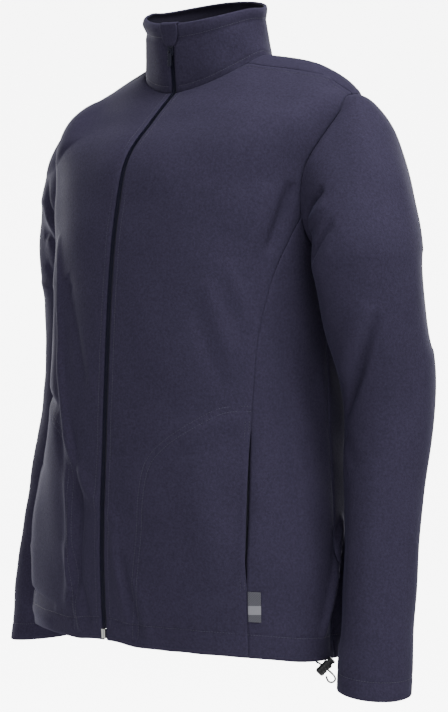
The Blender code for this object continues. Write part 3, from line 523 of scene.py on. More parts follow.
def cloth_wall(name, outer, normals, thickness, material, free=(0, 0, 0, 0), around=False,
               inside_painted_shade=None):
    """A closed sheet of cloth between its face and its back, with rounded free edges.

    free gives, for the first and last columns and the first and last rows, how far the edge's
    middle bulges, as a share of the thickness.
    """
    rows, columns = outer.shape[:2]
    thickness = np.broadcast_to(thickness, (rows, columns))
    inner = outer - normals * thickness[..., None]
    bulge = np.zeros_like(outer)
    if not around:
        bulge[:, 0] += unit(outer[:, 0] - outer[:, 1]) * free[0]
        bulge[:, -1] += unit(outer[:, -1] - outer[:, -2]) * free[1]
    bulge[0] += unit(outer[0] - outer[1]) * free[2]
    bulge[-1] += unit(outer[-1] - outer[-2]) * free[3]
    bulge = (bulge * thickness[..., None]).reshape(-1, 3)
    index = np.arange(rows * columns).reshape(rows, columns)
    wrapped = np.concatenate([index, index[:, :1]], axis=1) if around else index
    quads = np.stack([wrapped[:-1, :-1], wrapped[:-1, 1:], wrapped[1:, 1:], wrapped[1:, :-1]], -1)
    quads = quads.reshape(-1, 4)
    vertices = [outer.reshape(-1, 3), inner.reshape(-1, 3)]
    faces = [quads, quads[:, ::-1] + rows * columns]
    if around:
        loops = [index[0], index[-1, ::-1]]
    else:
        loops = [np.concatenate([index[0], index[1:, -1], index[-1, -2::-1], index[-2:0:-1, 0]])]
    used = 2 * rows * columns
    for loop in loops:
        layers = [loop]
        for angle in RIM_ANGLES:
            share = (1 - math.cos(angle)) / 2
            vertices.append(vertices[0][loop] * (1 - share) + vertices[1][loop] * share
                            + bulge[loop] * math.sin(angle))
            layers.append(np.arange(len(loop)) + used)
            used += len(loop)
        layers.append(loop + rows * columns)
        for near, far in zip(layers[:-1], layers[1:]):
            faces.append(np.stack([np.roll(near, -1), near, far, np.roll(far, -1)], -1))
    piece = mesh_object(name, np.concatenate(vertices), np.concatenate(faces).tolist(), material)
    # When given, a second material goes on the inside faces; on the collar it is a darker copy of
    # the fleece, painted shade where the collar's inside lies in shadow
    if inside_painted_shade:
        piece.data.materials.append(inside_painted_shade)
        for polygon in piece.data.polygons[len(quads):2 * len(quads)]:
            polygon.material_index = 1
    return piece


def attach(obj, node=None):
    """Fix a piece to the still body, and let it stand for its CAD node."""
    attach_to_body(obj, "root")
    if node:
        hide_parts(node)


def declare_cloth(obj, node):
    """Attach a piece of cloth."""
    attach(obj, node)


# ---------------------------------------------------------------- materials

def linear(colour):
    """sRGB hex to the linear numbers that a shader wants."""
    channels = [int(colour[k:k + 2], 16) / 255 for k in (1, 3, 5)]
    return [c / 12.92 if c <= 0.04045 else ((c + 0.055) / 1.055) ** 2.4 for c in channels] + [1.0]


def add(tree, kind, values=None, links=None):
    """Add one node, set its properties and inputs, and join its inputs to other nodes' outputs."""
    node = tree.nodes.new(kind)
    values = dict(values or {})
    for name in [key for key in values if isinstance(key, str) and hasattr(node, key)]:
        setattr(node, name, values.pop(name))
    fill(node, values)
    for name, source in (links or {}).items():
        tree.links.new(source, socket(node.inputs, name))
    return node


def fill(node, values):
    for name, value in values.items():
        socket(node.inputs, name).default_value = value


def socket(sockets, name):
    """The socket of that name or number that is switched on."""
    if isinstance(name, int):
        return sockets[name]
    return next(item for item in sockets if item.name == name and item.enabled)


def new_material(name, roughness):
    material = bpy.data.materials.new(name)
    material.use_nodes = True
    tree = material.node_tree
    shader = tree.nodes["Principled BSDF"]
    shader.inputs["Roughness"].default_value = roughness
    return material, tree, shader


def patterned(name, roughness):
    """A new material and the place in the object, in metres, that its patterns are drawn by."""
    material, tree, shader = new_material(name, roughness)
    return material, tree, shader, add(tree, "ShaderNodeTexCoord").outputs["Object"]


def stripes(tree, place, spacing, distortion, direction):
    """Bands at a real spacing."""
    values = {"Scale": 0.5 / spacing, "Distortion": distortion, "bands_direction": direction}
    return add(tree, "ShaderNodeTexWave", values, {"Vector": place}).outputs["Fac"]


def blend(tree, amount, low, high):
    """One colour where the amount is 0 and another where it is 1."""
    mix = add(tree, "ShaderNodeMix", {"data_type": "RGBA", "B": high}, {"Factor": amount})
    if isinstance(low, list):
        socket(mix.inputs, "A").default_value = low
    else:
        tree.links.new(low, socket(mix.inputs, "A"))
    return socket(mix.outputs, "Result")


def emboss(tree, shader, height, strength, depth):
    """Let the surface rise and fall with a pattern."""
    bump = add(tree, "ShaderNodeBump", {"Strength": strength, "Distance": depth},
               {"Height": height})
    tree.links.new(bump.outputs["Normal"], shader.inputs["Normal"])


def scaled(colour, factor):
    return [min(c * factor, 1) for c in colour[:3]] + [1.0]


def brushed_fleece(name="brushed_polyester_fleece", shade=1.0):
    """Brushed polyester fleece: no shine, a soft pile that lightens at grazing angles."""
    if name in bpy.data.materials:
        return bpy.data.materials[name]
    material, tree, shader, place = patterned(name, 0.95)
    # shade darkens the dyed colour; below 1 it gives a darker copy of the fleece, painted shade for
    # cloth that lies in shadow
    colour = scaled(linear(settings().fleece_colour), shade)
    # Tufts of pile about 2.5 mm across, patches about 40 mm across where it lies differently,
    # and single fibres; drawn a little coarse so that they show
    tufts, lay, fine = (
        add(tree, "ShaderNodeTexNoise", {"Scale": 1 / (size * MM), "Detail": detail,
                                         "Roughness": rough}, {"Vector": place}).outputs["Fac"]
        for size, detail, rough in ((2.6, 3.0, 0.6), (45, 2.0, 0.5), (0.9, 2.0, 0.5)))
    ramp = add(tree, "ShaderNodeValToRGB", links={"Fac": tufts})
    for end, position, factor in zip(ramp.color_ramp.elements, (0.30, 0.72), (0.80, 1.22)):
        end.position = position
        end.color = scaled(colour, factor)
    patchy = add(tree, "ShaderNodeMapRange", {"To Min": 0.92, "To Max": 1.08}, {"Value": lay})
    tint = add(tree, "ShaderNodeVectorMath", {"operation": "SCALE"},
               {0: ramp.outputs["Color"], "Scale": patchy.outputs["Result"]})
    tree.links.new(tint.outputs["Vector"], shader.inputs["Base Color"])
    height = add(tree, "ShaderNodeMath", {"operation": "ADD"}, {0: tufts, 1: fine})
    emboss(tree, shader, height.outputs["Value"], 0.4, 0.7 * MM)
    fill(shader, {"Specular IOR Level": 0.05, "Sheen Weight": 0.06, "Sheen Roughness": 0.3,
                  "Sheen Tint": linear("#8286B0")})
    return material


def fine_cloth(name, roughness, draw, low, high, strength, depth):
    """A cloth whose colour and surface follow one fine pattern, drawn by draw(tree, place)."""
    material, tree, shader, place = patterned(name, roughness)
    pattern = draw(tree, place)
    tree.links.new(blend(tree, pattern, low, high), shader.inputs["Base Color"])
    emboss(tree, shader, pattern, strength, depth)
    return material


def woven_tape(colour, thread):
    """Woven polyester: a fine plain weave that is drawn at its real thread spacing."""
    return fine_cloth("woven_polyester_tape", 0.8,
                      lambda tree, place: stripes(tree, place, thread, 0.6, "Z"),
                      scaled(linear(colour), 0.7), scaled(linear(colour), 1.2), 0.4, 0.3 * MM)


def braided_elastic():
    """Round elastic: a diagonal braid of polyester over rubber, in strands about 0.8 mm wide."""
    return fine_cloth("braided_elastic_cord", 0.7,
                      lambda tree, place: stripes(tree, place, 0.8 * MM, 1.2, "DIAGONAL"),
                      linear("#0C0C0F"), linear("#26262C"), 0.6, 0.25 * MM)


def knitted_lining():
    """Thin warp-knitted mesh of the pocket bags, with small dark holes about 1.6 mm apart."""
    return fine_cloth("knitted_mesh_lining", 0.85,
                      lambda tree, place: add(tree, "ShaderNodeTexVoronoi",
                                              {"Scale": 1 / (1.6 * MM), "Randomness": 0.15},
                                              {"Vector": place}).outputs["Distance"],
                      linear("#0D0D14"), linear("#2A2A3C"), 0.4, 0.3 * MM)


def smooth_solid(name, colour, roughness, metallic=0.0, gloss=0.5):
    """A moulded, cast or plated finish: even colour with a faint surface grain."""
    material, tree, shader, place = patterned(name, roughness)
    noise = add(tree, "ShaderNodeTexNoise", {"Scale": 1 / (0.4 * MM), "Detail": 3.0},
                {"Vector": place}).outputs["Fac"]
    rough = add(tree, "ShaderNodeMapRange",
                {"To Min": roughness * 0.85, "To Max": roughness * 1.15}, {"Value": noise})
    tree.links.new(rough.outputs["Result"], shader.inputs["Roughness"])
    emboss(tree, shader, noise, 0.15, 0.1 * MM)
    fill(shader, {"Base Color": linear(colour), "Metallic": metallic,
                  "Specular IOR Level": gloss})
    return material


def woven_label():
    """A grey damask label: fine diagonal threads with a plain paler band, and no wording."""
    material, tree, shader, place = patterned("woven_damask_label", 0.6)
    # Slanting pattern lines about 2.2 mm apart over a weave of 0.35 mm threads
    slant = stripes(tree, place, 2.2 * MM, 0.0, "DIAGONAL")
    thread = stripes(tree, place, 0.35 * MM, 0.4, "Z")
    shade = blend(tree, slant, linear("#1C1C24"), linear("#3C3C46"))
    height = add(tree, "ShaderNodeSeparateXYZ", links={"Vector": place}).outputs["Z"]
    away = add(tree, "ShaderNodeMath", {"operation": "SUBTRACT", 1: BAND_MIDDLE}, {0: height})
    away = add(tree, "ShaderNodeMath", {"operation": "ABSOLUTE"}, {0: away.outputs["Value"]})
    band = add(tree, "ShaderNodeMath", {"operation": "LESS_THAN", 1: BAND_HALF},
               {0: away.outputs["Value"]})
    face = blend(tree, band.outputs["Value"], shade, linear("#626269"))
    tree.links.new(face, shader.inputs["Base Color"])
    emboss(tree, shader, thread, 0.35, 0.15 * MM)
    return material


def finish_node(node, material):
    """Give a kept CAD node its finish; its mesh stays as it is."""
    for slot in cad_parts[node].material_slots:
        slot.material = material


# ---------------------------------------------------------------- panels of the body

def to_side(side, *grids):
    """Grids as they are, or for the wearer's right (-1) mirrored and still facing out."""
    return grids if side > 0 else [grid[:, ::-1] * (-1, 1, 1) for grid in grids]


SEAM_ROWS, HOLE_ROWS, SHOULDER_ROWS = 150, 74, 26
FRONT_COLUMNS, SIDE_COLUMNS, BACK_COLUMNS = 84, 44, 130
# Levels at the zip and the back's middle, level with the armhole's lower and upper ends
ZIP_LEVELS, BACK_LEVELS = (4.0, 7.35), (4.2, 7.3)


def outline(lower, loop_start, loop_end):
    """A panel's edge: up a seam, along part of the armhole, and along the shoulder seam."""
    return np.vstack([at_fractions(lower, np.linspace(0, 1, SEAM_ROWS + 1)),
                      loop_part(loop_start, loop_end, HOLE_ROWS + 1)[1:],
                      at_fractions(shoulder_seam, np.linspace(0, 1, SHOULDER_ROWS + 1))[1:]])


def edge_levels(seam_top, hole_top):
    """Levels of the edge opposite an outline, row for row."""
    return np.concatenate([np.linspace(0, seam_top, SEAM_ROWS + 1),
                           np.linspace(seam_top, hole_top, HOLE_ROWS + 1)[1:],
                           np.linspace(hole_top, NECK, SHOULDER_ROWS + 1)[1:]])


def between(left, right, columns, bend=0.0, last_row=None):
    """(level, turn) for a panel between two edges."""
    across = np.linspace(0, 1, columns)
    places = left[:, None] * (1 - across[None, :, None]) + right[:, None] * across[None, :, None]
    places[..., 0] += np.multiply.outer(np.ones(len(left)) * bend, 4 * across * (1 - across))
    if last_row is not None:
        share = np.linspace(0, 1, len(left)) ** 3
        places += share[:, None, None] * (last_row - places[-1])
    return places


def cloth_depth(heights, band_top):
    """Thickness of the cloth: double below the top of a turned-up band."""
    share = np.clip((band_top - heights) / (1.5 * MM) + 0.5, 0, 1)
    return CLOTH + (DOUBLE - CLOTH) * share


SLIT_REACH = 9 * MM             # how far from the opening the cloth is pulled with it


def gape(heights):
    """How open the pocket is at each height, from 0 to 1."""
    share = np.clip((heights - SLIT_LOW) / (SLIT_HIGH - SLIT_LOW), 0, 1)
    return np.sin(math.pi * share) ** 0.6


def pull_edge(grid, normal, column, inward, amount):
    """Pull a panel's pocket edge away from its seam and in or out of the surface."""
    beside = column + (1 if column == 0 else -1)
    away = unit(grid[:, beside] - grid[:, column])
    distance = np.linalg.norm(grid - grid[:, column:column + 1], axis=-1)
    share = gape(grid[:, column, 2])[:, None] * np.exp(-(distance / SLIT_REACH) ** 2)
    return grid + share[..., None] * (away[:, None] * amount - normal * inward)


def trim_seams(grid, sides):
    """Stop the first and last columns short of the seam line, where sides says so."""
    grid = grid.copy()
    for column, beside, trim in ((0, 1, sides[0]), (-1, -2, sides[1])):
        if trim:
            grid[:, column] += unit(grid[:, beside] - grid[:, column]) * -SEAM_OVERLAP
    return grid


def body_cloth(name, places, side, free=(0, 0, 0.5, 0), trims=(1, 1), pocket=None):
    """One panel of the body from its (level, turn) places, with folds, seams and hem.

    pocket: the column that opens, how far it moves inwards and how far away from the seam.
    """
    cut = base = body_point(places[..., 0], places[..., 1])
    normal = body_normal(places[..., 0], places[..., 1])
    base, normal = to_side(side, base, normal)
    if side < 0:
        free = (free[1], free[0], *free[2:])
    outer = base + normal * body_cover(base)[..., None]
    if pocket is not None:
        column, inward, amount = pocket
        if side < 0:
            column = -1 if column == 0 else 0
        column %= outer.shape[1]
        outer = pull_edge(outer, normal, column, inward, amount)
    outer = trim_seams(outer, trims if side > 0 else trims[::-1])
    depth = cloth_depth(base[..., 2], base[0, :, 2] + HEM_BAND)
    return cloth_wall(name, outer, normal, depth, brushed_fleece(), free), cut


# ---------------------------------------------------------------- sleeves

# Folds of the sleeves. Angles in degrees, 0 outwards, 90 forwards, 180 towards the body; shares of
# the way from armhole to cuff; width and height in millimetres.
SLEEVE_LEFT_FOLDS = (
    # where                    angles              shares               width height
    ("armhole, front",        (86, 98, 112, 126), (0.078, 0.070, 0.050, 0.022), 3.4, -9.0),
    ("armhole, front ridge",  (84, 100, 118, 134), (0.100, 0.095, 0.080, 0.060), 7, 4.6),
    ("under the arm",         (80, 100, 122),     (0.132, 0.142, 0.165), 4.5, -5.5),
    ("under the arm, ridge",  (84, 104, 124),     (0.165, 0.18, 0.20),  9,   1.8),
    ("inner elbow",           (44, 78, 112, 122), (0.330, 0.455, 0.535, 0.555), 5.2, -10.0),
    ("inner elbow, ridge",    (52, 84, 116),      (0.30, 0.40, 0.485), 12,   4.2),
    ("inner elbow, lower",    (96, 120, 140),     (0.64, 0.60, 0.59),   9,  -2.6),
    ("outer upper arm",       (10, 22, 30),       (0.20, 0.32, 0.42),  16,  -1.4),
    ("elbow, back",           (-60, -90, -125),   (0.47, 0.50, 0.54),  14,  -2.6),
    ("upper arm, back",       (-70, -100, -140),  (0.24, 0.30, 0.36),  13,  -3.0),
    ("forearm, long",         (60, 66, 70),       (0.62, 0.74, 0.90),  15,   2.2),
    ("forearm, inner",        (120, 130, 136),    (0.66, 0.78, 0.92),  13,  -3.0),
    ("cuff, back",            (-100, -130, -150), (0.80, 0.86, 0.92),  12,  -2.2),
    ("outer arm, flatter",    (-43, -43, -43),    (0.18, 0.30, 0.42),  28,  -4.0),
    ("head, front",           (40, 56, 66),       (0.05, 0.12, 0.20),  14,   1.2),
)
SLEEVE_RIGHT_FOLDS = (
    ("head, fuller",          (20, 44, 62),       (0.03, 0.045, 0.06), 26,  7.0),
    ("upper arm, drawn in",   (70, 74, 76, 74),   (0.10, 0.13, 0.19, 0.25), 26, -7.0),
    ("zigzag, first",         (70, 92, 120),      (0.070, 0.085, 0.07), 6,  -5.0),
    ("zigzag, ridge",         (66, 92, 118),      (0.10, 0.105, 0.10),  6,   3.0),
    ("zigzag, second",        (70, 92, 122),      (0.145, 0.13, 0.15),  6,  -4.5),
    ("zigzag, third",         (76, 98, 128),      (0.19, 0.215, 0.19),  8,  -3.6),
    ("inner elbow, upper",    (146, 118, 90),     (0.50, 0.44, 0.40),   9,  -4.0),
    ("inner elbow, lower",    (154, 128, 100),    (0.60, 0.55, 0.52),  10,  -3.0),
    ("elbow, back",           (-58, -92, -128),   (0.46, 0.50, 0.55),  14,  -2.8),
    ("upper arm, back",       (-66, -96, -138),   (0.22, 0.28, 0.35),  13,  -3.0),
    ("forearm, long",         (52, 60, 66),       (0.64, 0.76, 0.90),  14,   1.6),
    ("cuff, back",            (-96, -128, -152),  (0.79, 0.86, 0.93),  12,  -2.4),
)
SLEEVES = (
    # side, name, how strongly the head leaves the shoulder and its slope, and unevenness seed
    (1, "left", SLEEVE_LEFT, (0.185, 0.30), SLEEVE_LEFT_FOLDS, 3),
    (-1, "right", SLEEVE_RIGHT, (0.250, 0.22), SLEEVE_RIGHT_FOLDS, 4),
)
SLEEVE_AROUND, SLEEVE_ROWS = 112, 190
SLEEVE_SPREAD = 1.1             # rows stand closer near the armhole
HEAD_AHEAD = 0.35               # how much the head's sides lean forwards and back as it leaves
FOLDS_JOIN, NORMALS_JOIN = 11 * MM, 7 * MM  # where the sleeve's cloth still goes with the body's
CUFF_SEAM = 1 - CUFF_BAND / 0.66    # share of the sleeve's length, which is about 0.66 m
sleeve_ring = loop_part(0, 1, SLEEVE_AROUND + 1)[:-1]


def sleeve_form(sections, head):
    """Points of a sleeve on the wearer's left: rows from the armhole to the cuff."""
    angles = np.arange(SLEEVE_AROUND) * 2 * math.pi / SLEEVE_AROUND
    knots = [body_point(*sleeve_ring.T)]
    for _, x, y, z, across, fore, outer_drop in sections:
        knots.append(np.stack([x + across * np.cos(angles), y - fore * np.sin(angles),
                               z - outer_drop * np.cos(angles)], 1))
    knots = np.array(knots)
    top = (1 + np.cos(angles)) / 2
    strength, slope = head
    leave = unit(np.stack([np.ones(len(top)), -HEAD_AHEAD * np.sin(angles) * top, -slope * top], 1))
    tangents = np.empty_like(knots)
    tangents[0] = leave * (SLEEVE_TUCK + (strength - SLEEVE_TUCK) * top)[:, None]
    tangents[1:-1] = (knots[2:] - knots[:-2]) / 2
    tangents[1] = (knots[2] - knots[1]) * (0.9 + 0.4 * top[:, None])
    tangents[-1] = knots[-1] - knots[-2]
    position = np.linspace(0, 1, SLEEVE_ROWS) ** SLEEVE_SPREAD * (len(knots) - 1)
    low = np.minimum(position.astype(int), len(knots) - 2)
    part = (position - low)[:, None, None]
    return smooth_curve(knots[low], knots[low + 1], tangents[low], tangents[low + 1], part)


def on_sleeve(base, angles, shares, count=30):
    """A line on a sleeve's form through (angle in degrees, share of its length) points."""
    route = smooth_rows(np.stack([angles, shares], 1), np.linspace(0, len(angles) - 1, count))
    rows, around = base.shape[:2]
    column = (route[:, 0] % 360) / 360 * around
    row = np.clip(route[:, 1], 0, 1) * (rows - 1)
    near, low = column.astype(int), np.minimum(row.astype(int), rows - 2)
    part, rise = (column - near)[:, None], (row - low)[:, None]
    lower, upper = (base[k, near % around] * (1 - part) + base[k, (near + 1) % around] * part
                    for k in (low, low + 1))
    return lower * (1 - rise) + upper * rise


def cuff_line(base, step, count):
    """The line round a sleeve at the top of its cuff's band, through points step degrees apart."""
    angles = np.arange(0, 361, step)
    return on_sleeve(base, angles, np.full(len(angles), CUFF_SEAM), count)


def sleeve_cover(base, folds, seed, side):
    """How far a sleeve's cloth stands off its form; at the armhole it goes with the body's."""
    points = base.reshape(-1, 3)
    strength = settings().fold_strength
    field = uneven(points, 0.8 * MM * strength, 70 * MM, seed)
    for _, angles, shares, width, height in folds:
        field += crease(points, on_sleeve(base, angles, shares), width * MM,
                        height * MM * strength)
    field += crease(points, cuff_line(base, 10, 150), 1.7 * MM, -0.8 * MM, fade=0)
    hold = np.exp(-(run_along(base) / FOLDS_JOIN) ** 2)
    return field.reshape(hold.shape) * (1 - hold) + body_cover(base * (side, 1, 1)) * hold


def outward_normals(grid):
    normals = grid_normals(grid, around=True)
    outward = grid - grid.mean(axis=1, keepdims=True)
    return normals * np.sign((normals * outward).sum(-1).mean())


def sleeve_surface(side, sections, head, folds, seed):
    """Form, covering surface and normals of one sleeve, all on the wearer's left."""
    base = sleeve_form(sections, head)
    hold = np.exp(-(run_along(base) / NORMALS_JOIN) ** 2)[..., None]
    normals = unit(outward_normals(base) * (1 - hold) + body_normal(*sleeve_ring.T)[None] * hold)
    cover = sleeve_cover(base, folds, seed, side)
    return base, base + normals * cover[..., None], normals


# ---------------------------------------------------------------- collar and its zip garage

COLLAR_BANDS = (
    # ridges and grooves: rise, spread, height in mm, and how much more on the wearer's right
    (0.90, 0.075, 0.7, 1.6), (0.76, 0.05, -0.5, -1.0), (0.11, 0.03, -0.5, 0.0),
)


def collar_cover(grid, rise):
    """How far the collar's cloth stands off its form: a rolled top band over two layers."""
    points, x = grid.reshape(-1, 3), grid[..., 0]
    field = uneven(points, 0.7 * MM, 60 * MM, 5).reshape(rise.shape)
    field *= 1 - np.exp(-(x / ZIP_CALM) ** 2)
    right = np.clip(0.5 - x / 0.08, 0, 1) * (np.abs(x) > 8 * MM)
    for middle, spread, height, more in COLLAR_BANDS:
        field += (height + more * right) * MM * np.exp(-((rise - middle) / spread) ** 2)
    return field + neck_groove(points).reshape(rise.shape)


def collar_surface(rises, turns):
    """Form, covering surface and normals of the collar."""
    rise, turn = np.meshgrid(rises, turns, indexing="ij")
    base = collar_point(rise, turn)
    normal = form_normal(collar_point, np.clip(rise, 0.01, 0.99), turn)
    hold = np.exp(-(rise / 0.07) ** 2)[..., None]
    normal = unit(normal * (1 - hold) + body_normal(np.full(turn.shape, float(NECK)), turn) * hold)
    return base, base + normal * collar_cover(base, rise)[..., None], normal


GARAGE = (
    # name     rise   out    half_width
    ("tip",    0.695, 0.45,  5.6),
    ("lower",  0.74,  0.55,  9.0),
    ("middle", 0.84,  0.55, 11.6),
    ("upper",  0.94,  0.50, 12.4),
    ("brow",   1.00,  0.60, 12.2),
)
GARAGE_THICK = 1.8 * MM
GARAGE_LIFT = 1.8 * MM          # the collar's rolled edge under it needs this much
GARAGE_COLUMNS = 26
GARAGE_DROP = 0.12              # how far it reaches down the inside, as a share of the rise


def garage_row(rise, half_width, out, up=0.0):
    """One row of the flap across the front centre."""
    turn = np.arcsin(np.linspace(-1, 1, GARAGE_COLUMNS) * half_width / COLLAR[-1][2])
    normal = form_normal(collar_point, np.full(len(turn), min(rise, 0.98)), turn)
    normal[:, 2] = 0
    return collar_point(np.full(len(turn), rise), turn) + unit(normal) * out + (0, 0, up)


def garage_surface():
    """The flap from its tip, up the outside, over the edge and a little way down the inside."""
    grid = []
    table = smooth_rows([row[1:] for row in GARAGE], np.linspace(0, len(GARAGE) - 1, 26))
    table[:, 2] += 0.9 * np.sin(math.pi * np.linspace(0, 1, len(table))) ** 2
    for rise, out, half in table:
        lift = GARAGE_LIFT * np.clip((rise - 0.72) / 0.2, 0, 1)
        grid.append(garage_row(rise, half * MM, out * MM + GARAGE_THICK + lift))
    half = GARAGE[-1][3] * MM
    middle, reach = -DOUBLE / 2, DOUBLE / 2 + 0.6 * MM + GARAGE_THICK
    for angle in np.radians(np.arange(15, 180, 15)):
        side_lift = GARAGE_LIFT * math.cos(angle) if angle < math.pi / 2 else 0
        grid.append(garage_row(1.0, half, middle + reach * math.cos(angle) + side_lift,
                               (1.8 * MM + GARAGE_THICK) * math.sin(angle) + 0.2 * MM))
    for drop in (0.2, 0.5, 0.8, 1.0):
        grid.append(garage_row(1.0 - GARAGE_DROP * drop, half * (1 - 0.2 * drop),
                               middle - reach - 0.3 * MM))
    return np.array(grid)


# ---------------------------------------------------------------- repeats made with nodes

def repeat_tree(name, material):
    """Small bodies set at even steps along every edge line, turned to follow it."""
    tree = bpy.data.node_groups.new(name, "GeometryNodeTree")
    for label, way, kind in (("Lines", "INPUT", "Geometry"), ("Spacing", "INPUT", "Float"),
                             ("Size", "INPUT", "Vector"), ("Bodies", "OUTPUT", "Geometry")):
        tree.interface.new_socket(label, in_out=way, socket_type="NodeSocket" + kind)
    given = add(tree, "NodeGroupInput").outputs
    curve = add(tree, "GeometryNodeMeshToCurve", links={"Mesh": given["Lines"]})
    even = add(tree, "GeometryNodeResampleCurve", {"mode": "LENGTH"},
               {"Curve": curve.outputs["Curve"]})
    tree.links.new(given["Spacing"], even.inputs["Length"])
    kept = add(tree, "GeometryNodeCaptureAttribute", {"domain": "POINT"},
               {"Geometry": even.outputs["Curve"]})
    kept.capture_items.new("VECTOR", "Direction")
    tree.links.new(add(tree, "GeometryNodeInputTangent").outputs["Tangent"],
                   kept.inputs["Direction"])
    points = add(tree, "GeometryNodeCurveToPoints", {"mode": "EVALUATED"},
                 {"Curve": kept.outputs["Geometry"]})
    turn = add(tree, "FunctionNodeAlignRotationToVector", {"axis": "Z"},
               {"Vector": kept.outputs["Direction"]})
    body = add(tree, "GeometryNodeMeshUVSphere", {"Radius": 0.5, "Segments": 8, "Rings": 5})
    placed = add(tree, "GeometryNodeInstanceOnPoints",
                 links={"Points": points.outputs["Points"], "Instance": body.outputs["Mesh"],
                        "Rotation": turn.outputs["Rotation"], "Scale": given["Size"]})
    last = placed.outputs["Instances"]
    for kind, values in (("RealizeInstances", {}), ("SetMaterial", {"Material": material}),
                         ("SetShadeSmooth", {})):
        last = add(tree, "GeometryNode" + kind, values, {"Geometry": last}).outputs["Geometry"]
    add(tree, "NodeGroupOutput", links={"Bodies": last})
    return tree


def along_lines(name, lines, spacing, size, material):
    """A mesh of small bodies along lines of points."""
    edges, start = [], 0
    for line in lines:
        edges += [(start + k, start + k + 1) for k in range(len(line) - 1)]
        start += len(line)
    mesh = bpy.data.meshes.new(name + "_lines")
    mesh.from_pydata(np.concatenate(lines).tolist(), edges, [])
    holder = link(bpy.data.objects.new(name + "_lines", mesh))
    modifier = holder.modifiers.new(name, "NODES")
    modifier.node_group = repeat_tree(name, material)
    for item in modifier.node_group.interface.items_tree:
        if item.name in ("Spacing", "Size"):
            modifier[item.identifier] = spacing if item.name == "Spacing" else size
    bpy.context.view_layer.update()
    graph = bpy.context.evaluated_depsgraph_get()
    result = bpy.data.meshes.new_from_object(holder.evaluated_get(graph))
    holder.modifiers.clear()
    bpy.data.objects.remove(holder, do_unlink=True)
    result.name = name
    return link(bpy.data.objects.new(name, result))


# Width, height and length of one stitch and one zip tooth, and how far stitches stand off the cloth
STITCH = (0.55 * MM, 0.55 * MM, 2.5 * MM)
TOOTH = (2.7 * MM, 1.3 * MM, 0.95 * MM)
STITCH_LIFT = 0.22 * MM
THREAD_LIFT = 0.1 * MM          # the same on the collar and the cuffs


def on_body(places, side):
    """Points on the body's cloth at (level, turn) places, a little above it."""
    base = body_point(*places.T) * (side, 1, 1)
    normal = body_normal(*places.T) * (side, 1, 1)
    return base + normal * (body_cover(base) + STITCH_LIFT)[:, None]


# ---------------------------------------------------------------- the zip

CENTRE_POINTS, CENTRE_SMOOTHING = 400, 34


def centre_line():
    """The front centre from hem to collar edge: points, outward normals and distances."""
    body = body_point(np.linspace(0, NECK, CENTRE_POINTS), 0.0)
    collar = collar_point(np.linspace(0, 1, CENTRE_POINTS // 3), 0.0)
    points = np.vstack([body, collar[1:]])
    for _ in range(CENTRE_SMOOTHING):
        points[1:-1] = (points[:-2] + 2 * points[1:-1] + points[2:]) / 4
    along = unit(np.gradient(points, axis=0))
    normals = np.stack([np.zeros(len(points)), -along[:, 2], along[:, 1]], 1)
    return points, normals, run_along(points)


def centre_at(distance):
    """Points and normals of the front centre at distances from the hem."""
    points, normals, distances = centre_line()
    return [np.stack([np.interp(distance, distances, column) for column in grid.T], -1)
            for grid in (points, normals)]


def distance_at_height(height):
    points, _, distances = centre_line()
    return float(np.interp(height, points[:, 2], distances))


COIL_MIDDLE, COIL_DEPTH = 1.5 * MM, -1.0 * MM
TAPE_INNER, TAPE_OUTER, TAPE_IN_COLLAR = 0.35 * MM, 13 * MM, 5.2 * MM
TAPE_FRONT, TAPE_THICK, TAPE_FALL, TAPE_COLUMNS = -2.3 * MM, 0.6 * MM, 0.9 * MM, 6
ZIP_GAP, BOX_TALL = 0.4 * MM, 11 * MM


def zip_strip(distances, side):
    """A grid for one tape, from its coil outwards, and its normals."""
    points, normals = centre_at(distances)
    neck = distance_at_height(COLLAR[0][5]) - 8 * MM
    wide = (np.clip((distances - HEM_BAND * 1.3) / (2 * MM), 0, 1)
            * np.clip((neck - distances) / (2 * MM), 0, 1))
    outer = TAPE_IN_COLLAR + (TAPE_OUTER - TAPE_IN_COLLAR) * wide
    across = np.linspace(0, 1, TAPE_COLUMNS)
    grid = np.repeat(points[:, None], TAPE_COLUMNS, axis=1)
    grid[..., 0] = TAPE_INNER + (outer[:, None] - TAPE_INNER) * across
    fall = np.outer(wide, across ** 2) * TAPE_FALL + 0.6 * MM * np.minimum(across * 4, 1)
    grid += normals[:, None] * (TAPE_FRONT - fall)[..., None]
    normal = np.repeat(normals[:, None], TAPE_COLUMNS, axis=1)
    return to_side(side, grid, normal)


# ---------------------------------------------------------------- hem cord

CORD_DIAMETER = 2.2 * MM
CORD_ROUTE = (
    # metres, from the hem, through the lock, round the loop and back
    (0.2168, -0.0482, -0.7066), (0.2173, -0.0470, -0.7080), (0.2198, -0.0441, -0.7098),
    (0.2227, -0.0414, -0.7128), (0.2258, -0.0378, -0.7168), (0.2284, -0.0340, -0.7208),
    (0.2296, -0.0302, -0.7250), (0.2290, -0.0274, -0.7290), (0.2270, -0.0282, -0.7322),
    (0.2248, -0.0318, -0.7326), (0.2240, -0.0356, -0.7296), (0.2246, -0.0384, -0.7250),
)


# ---------------------------------------------------------------- settings and operators

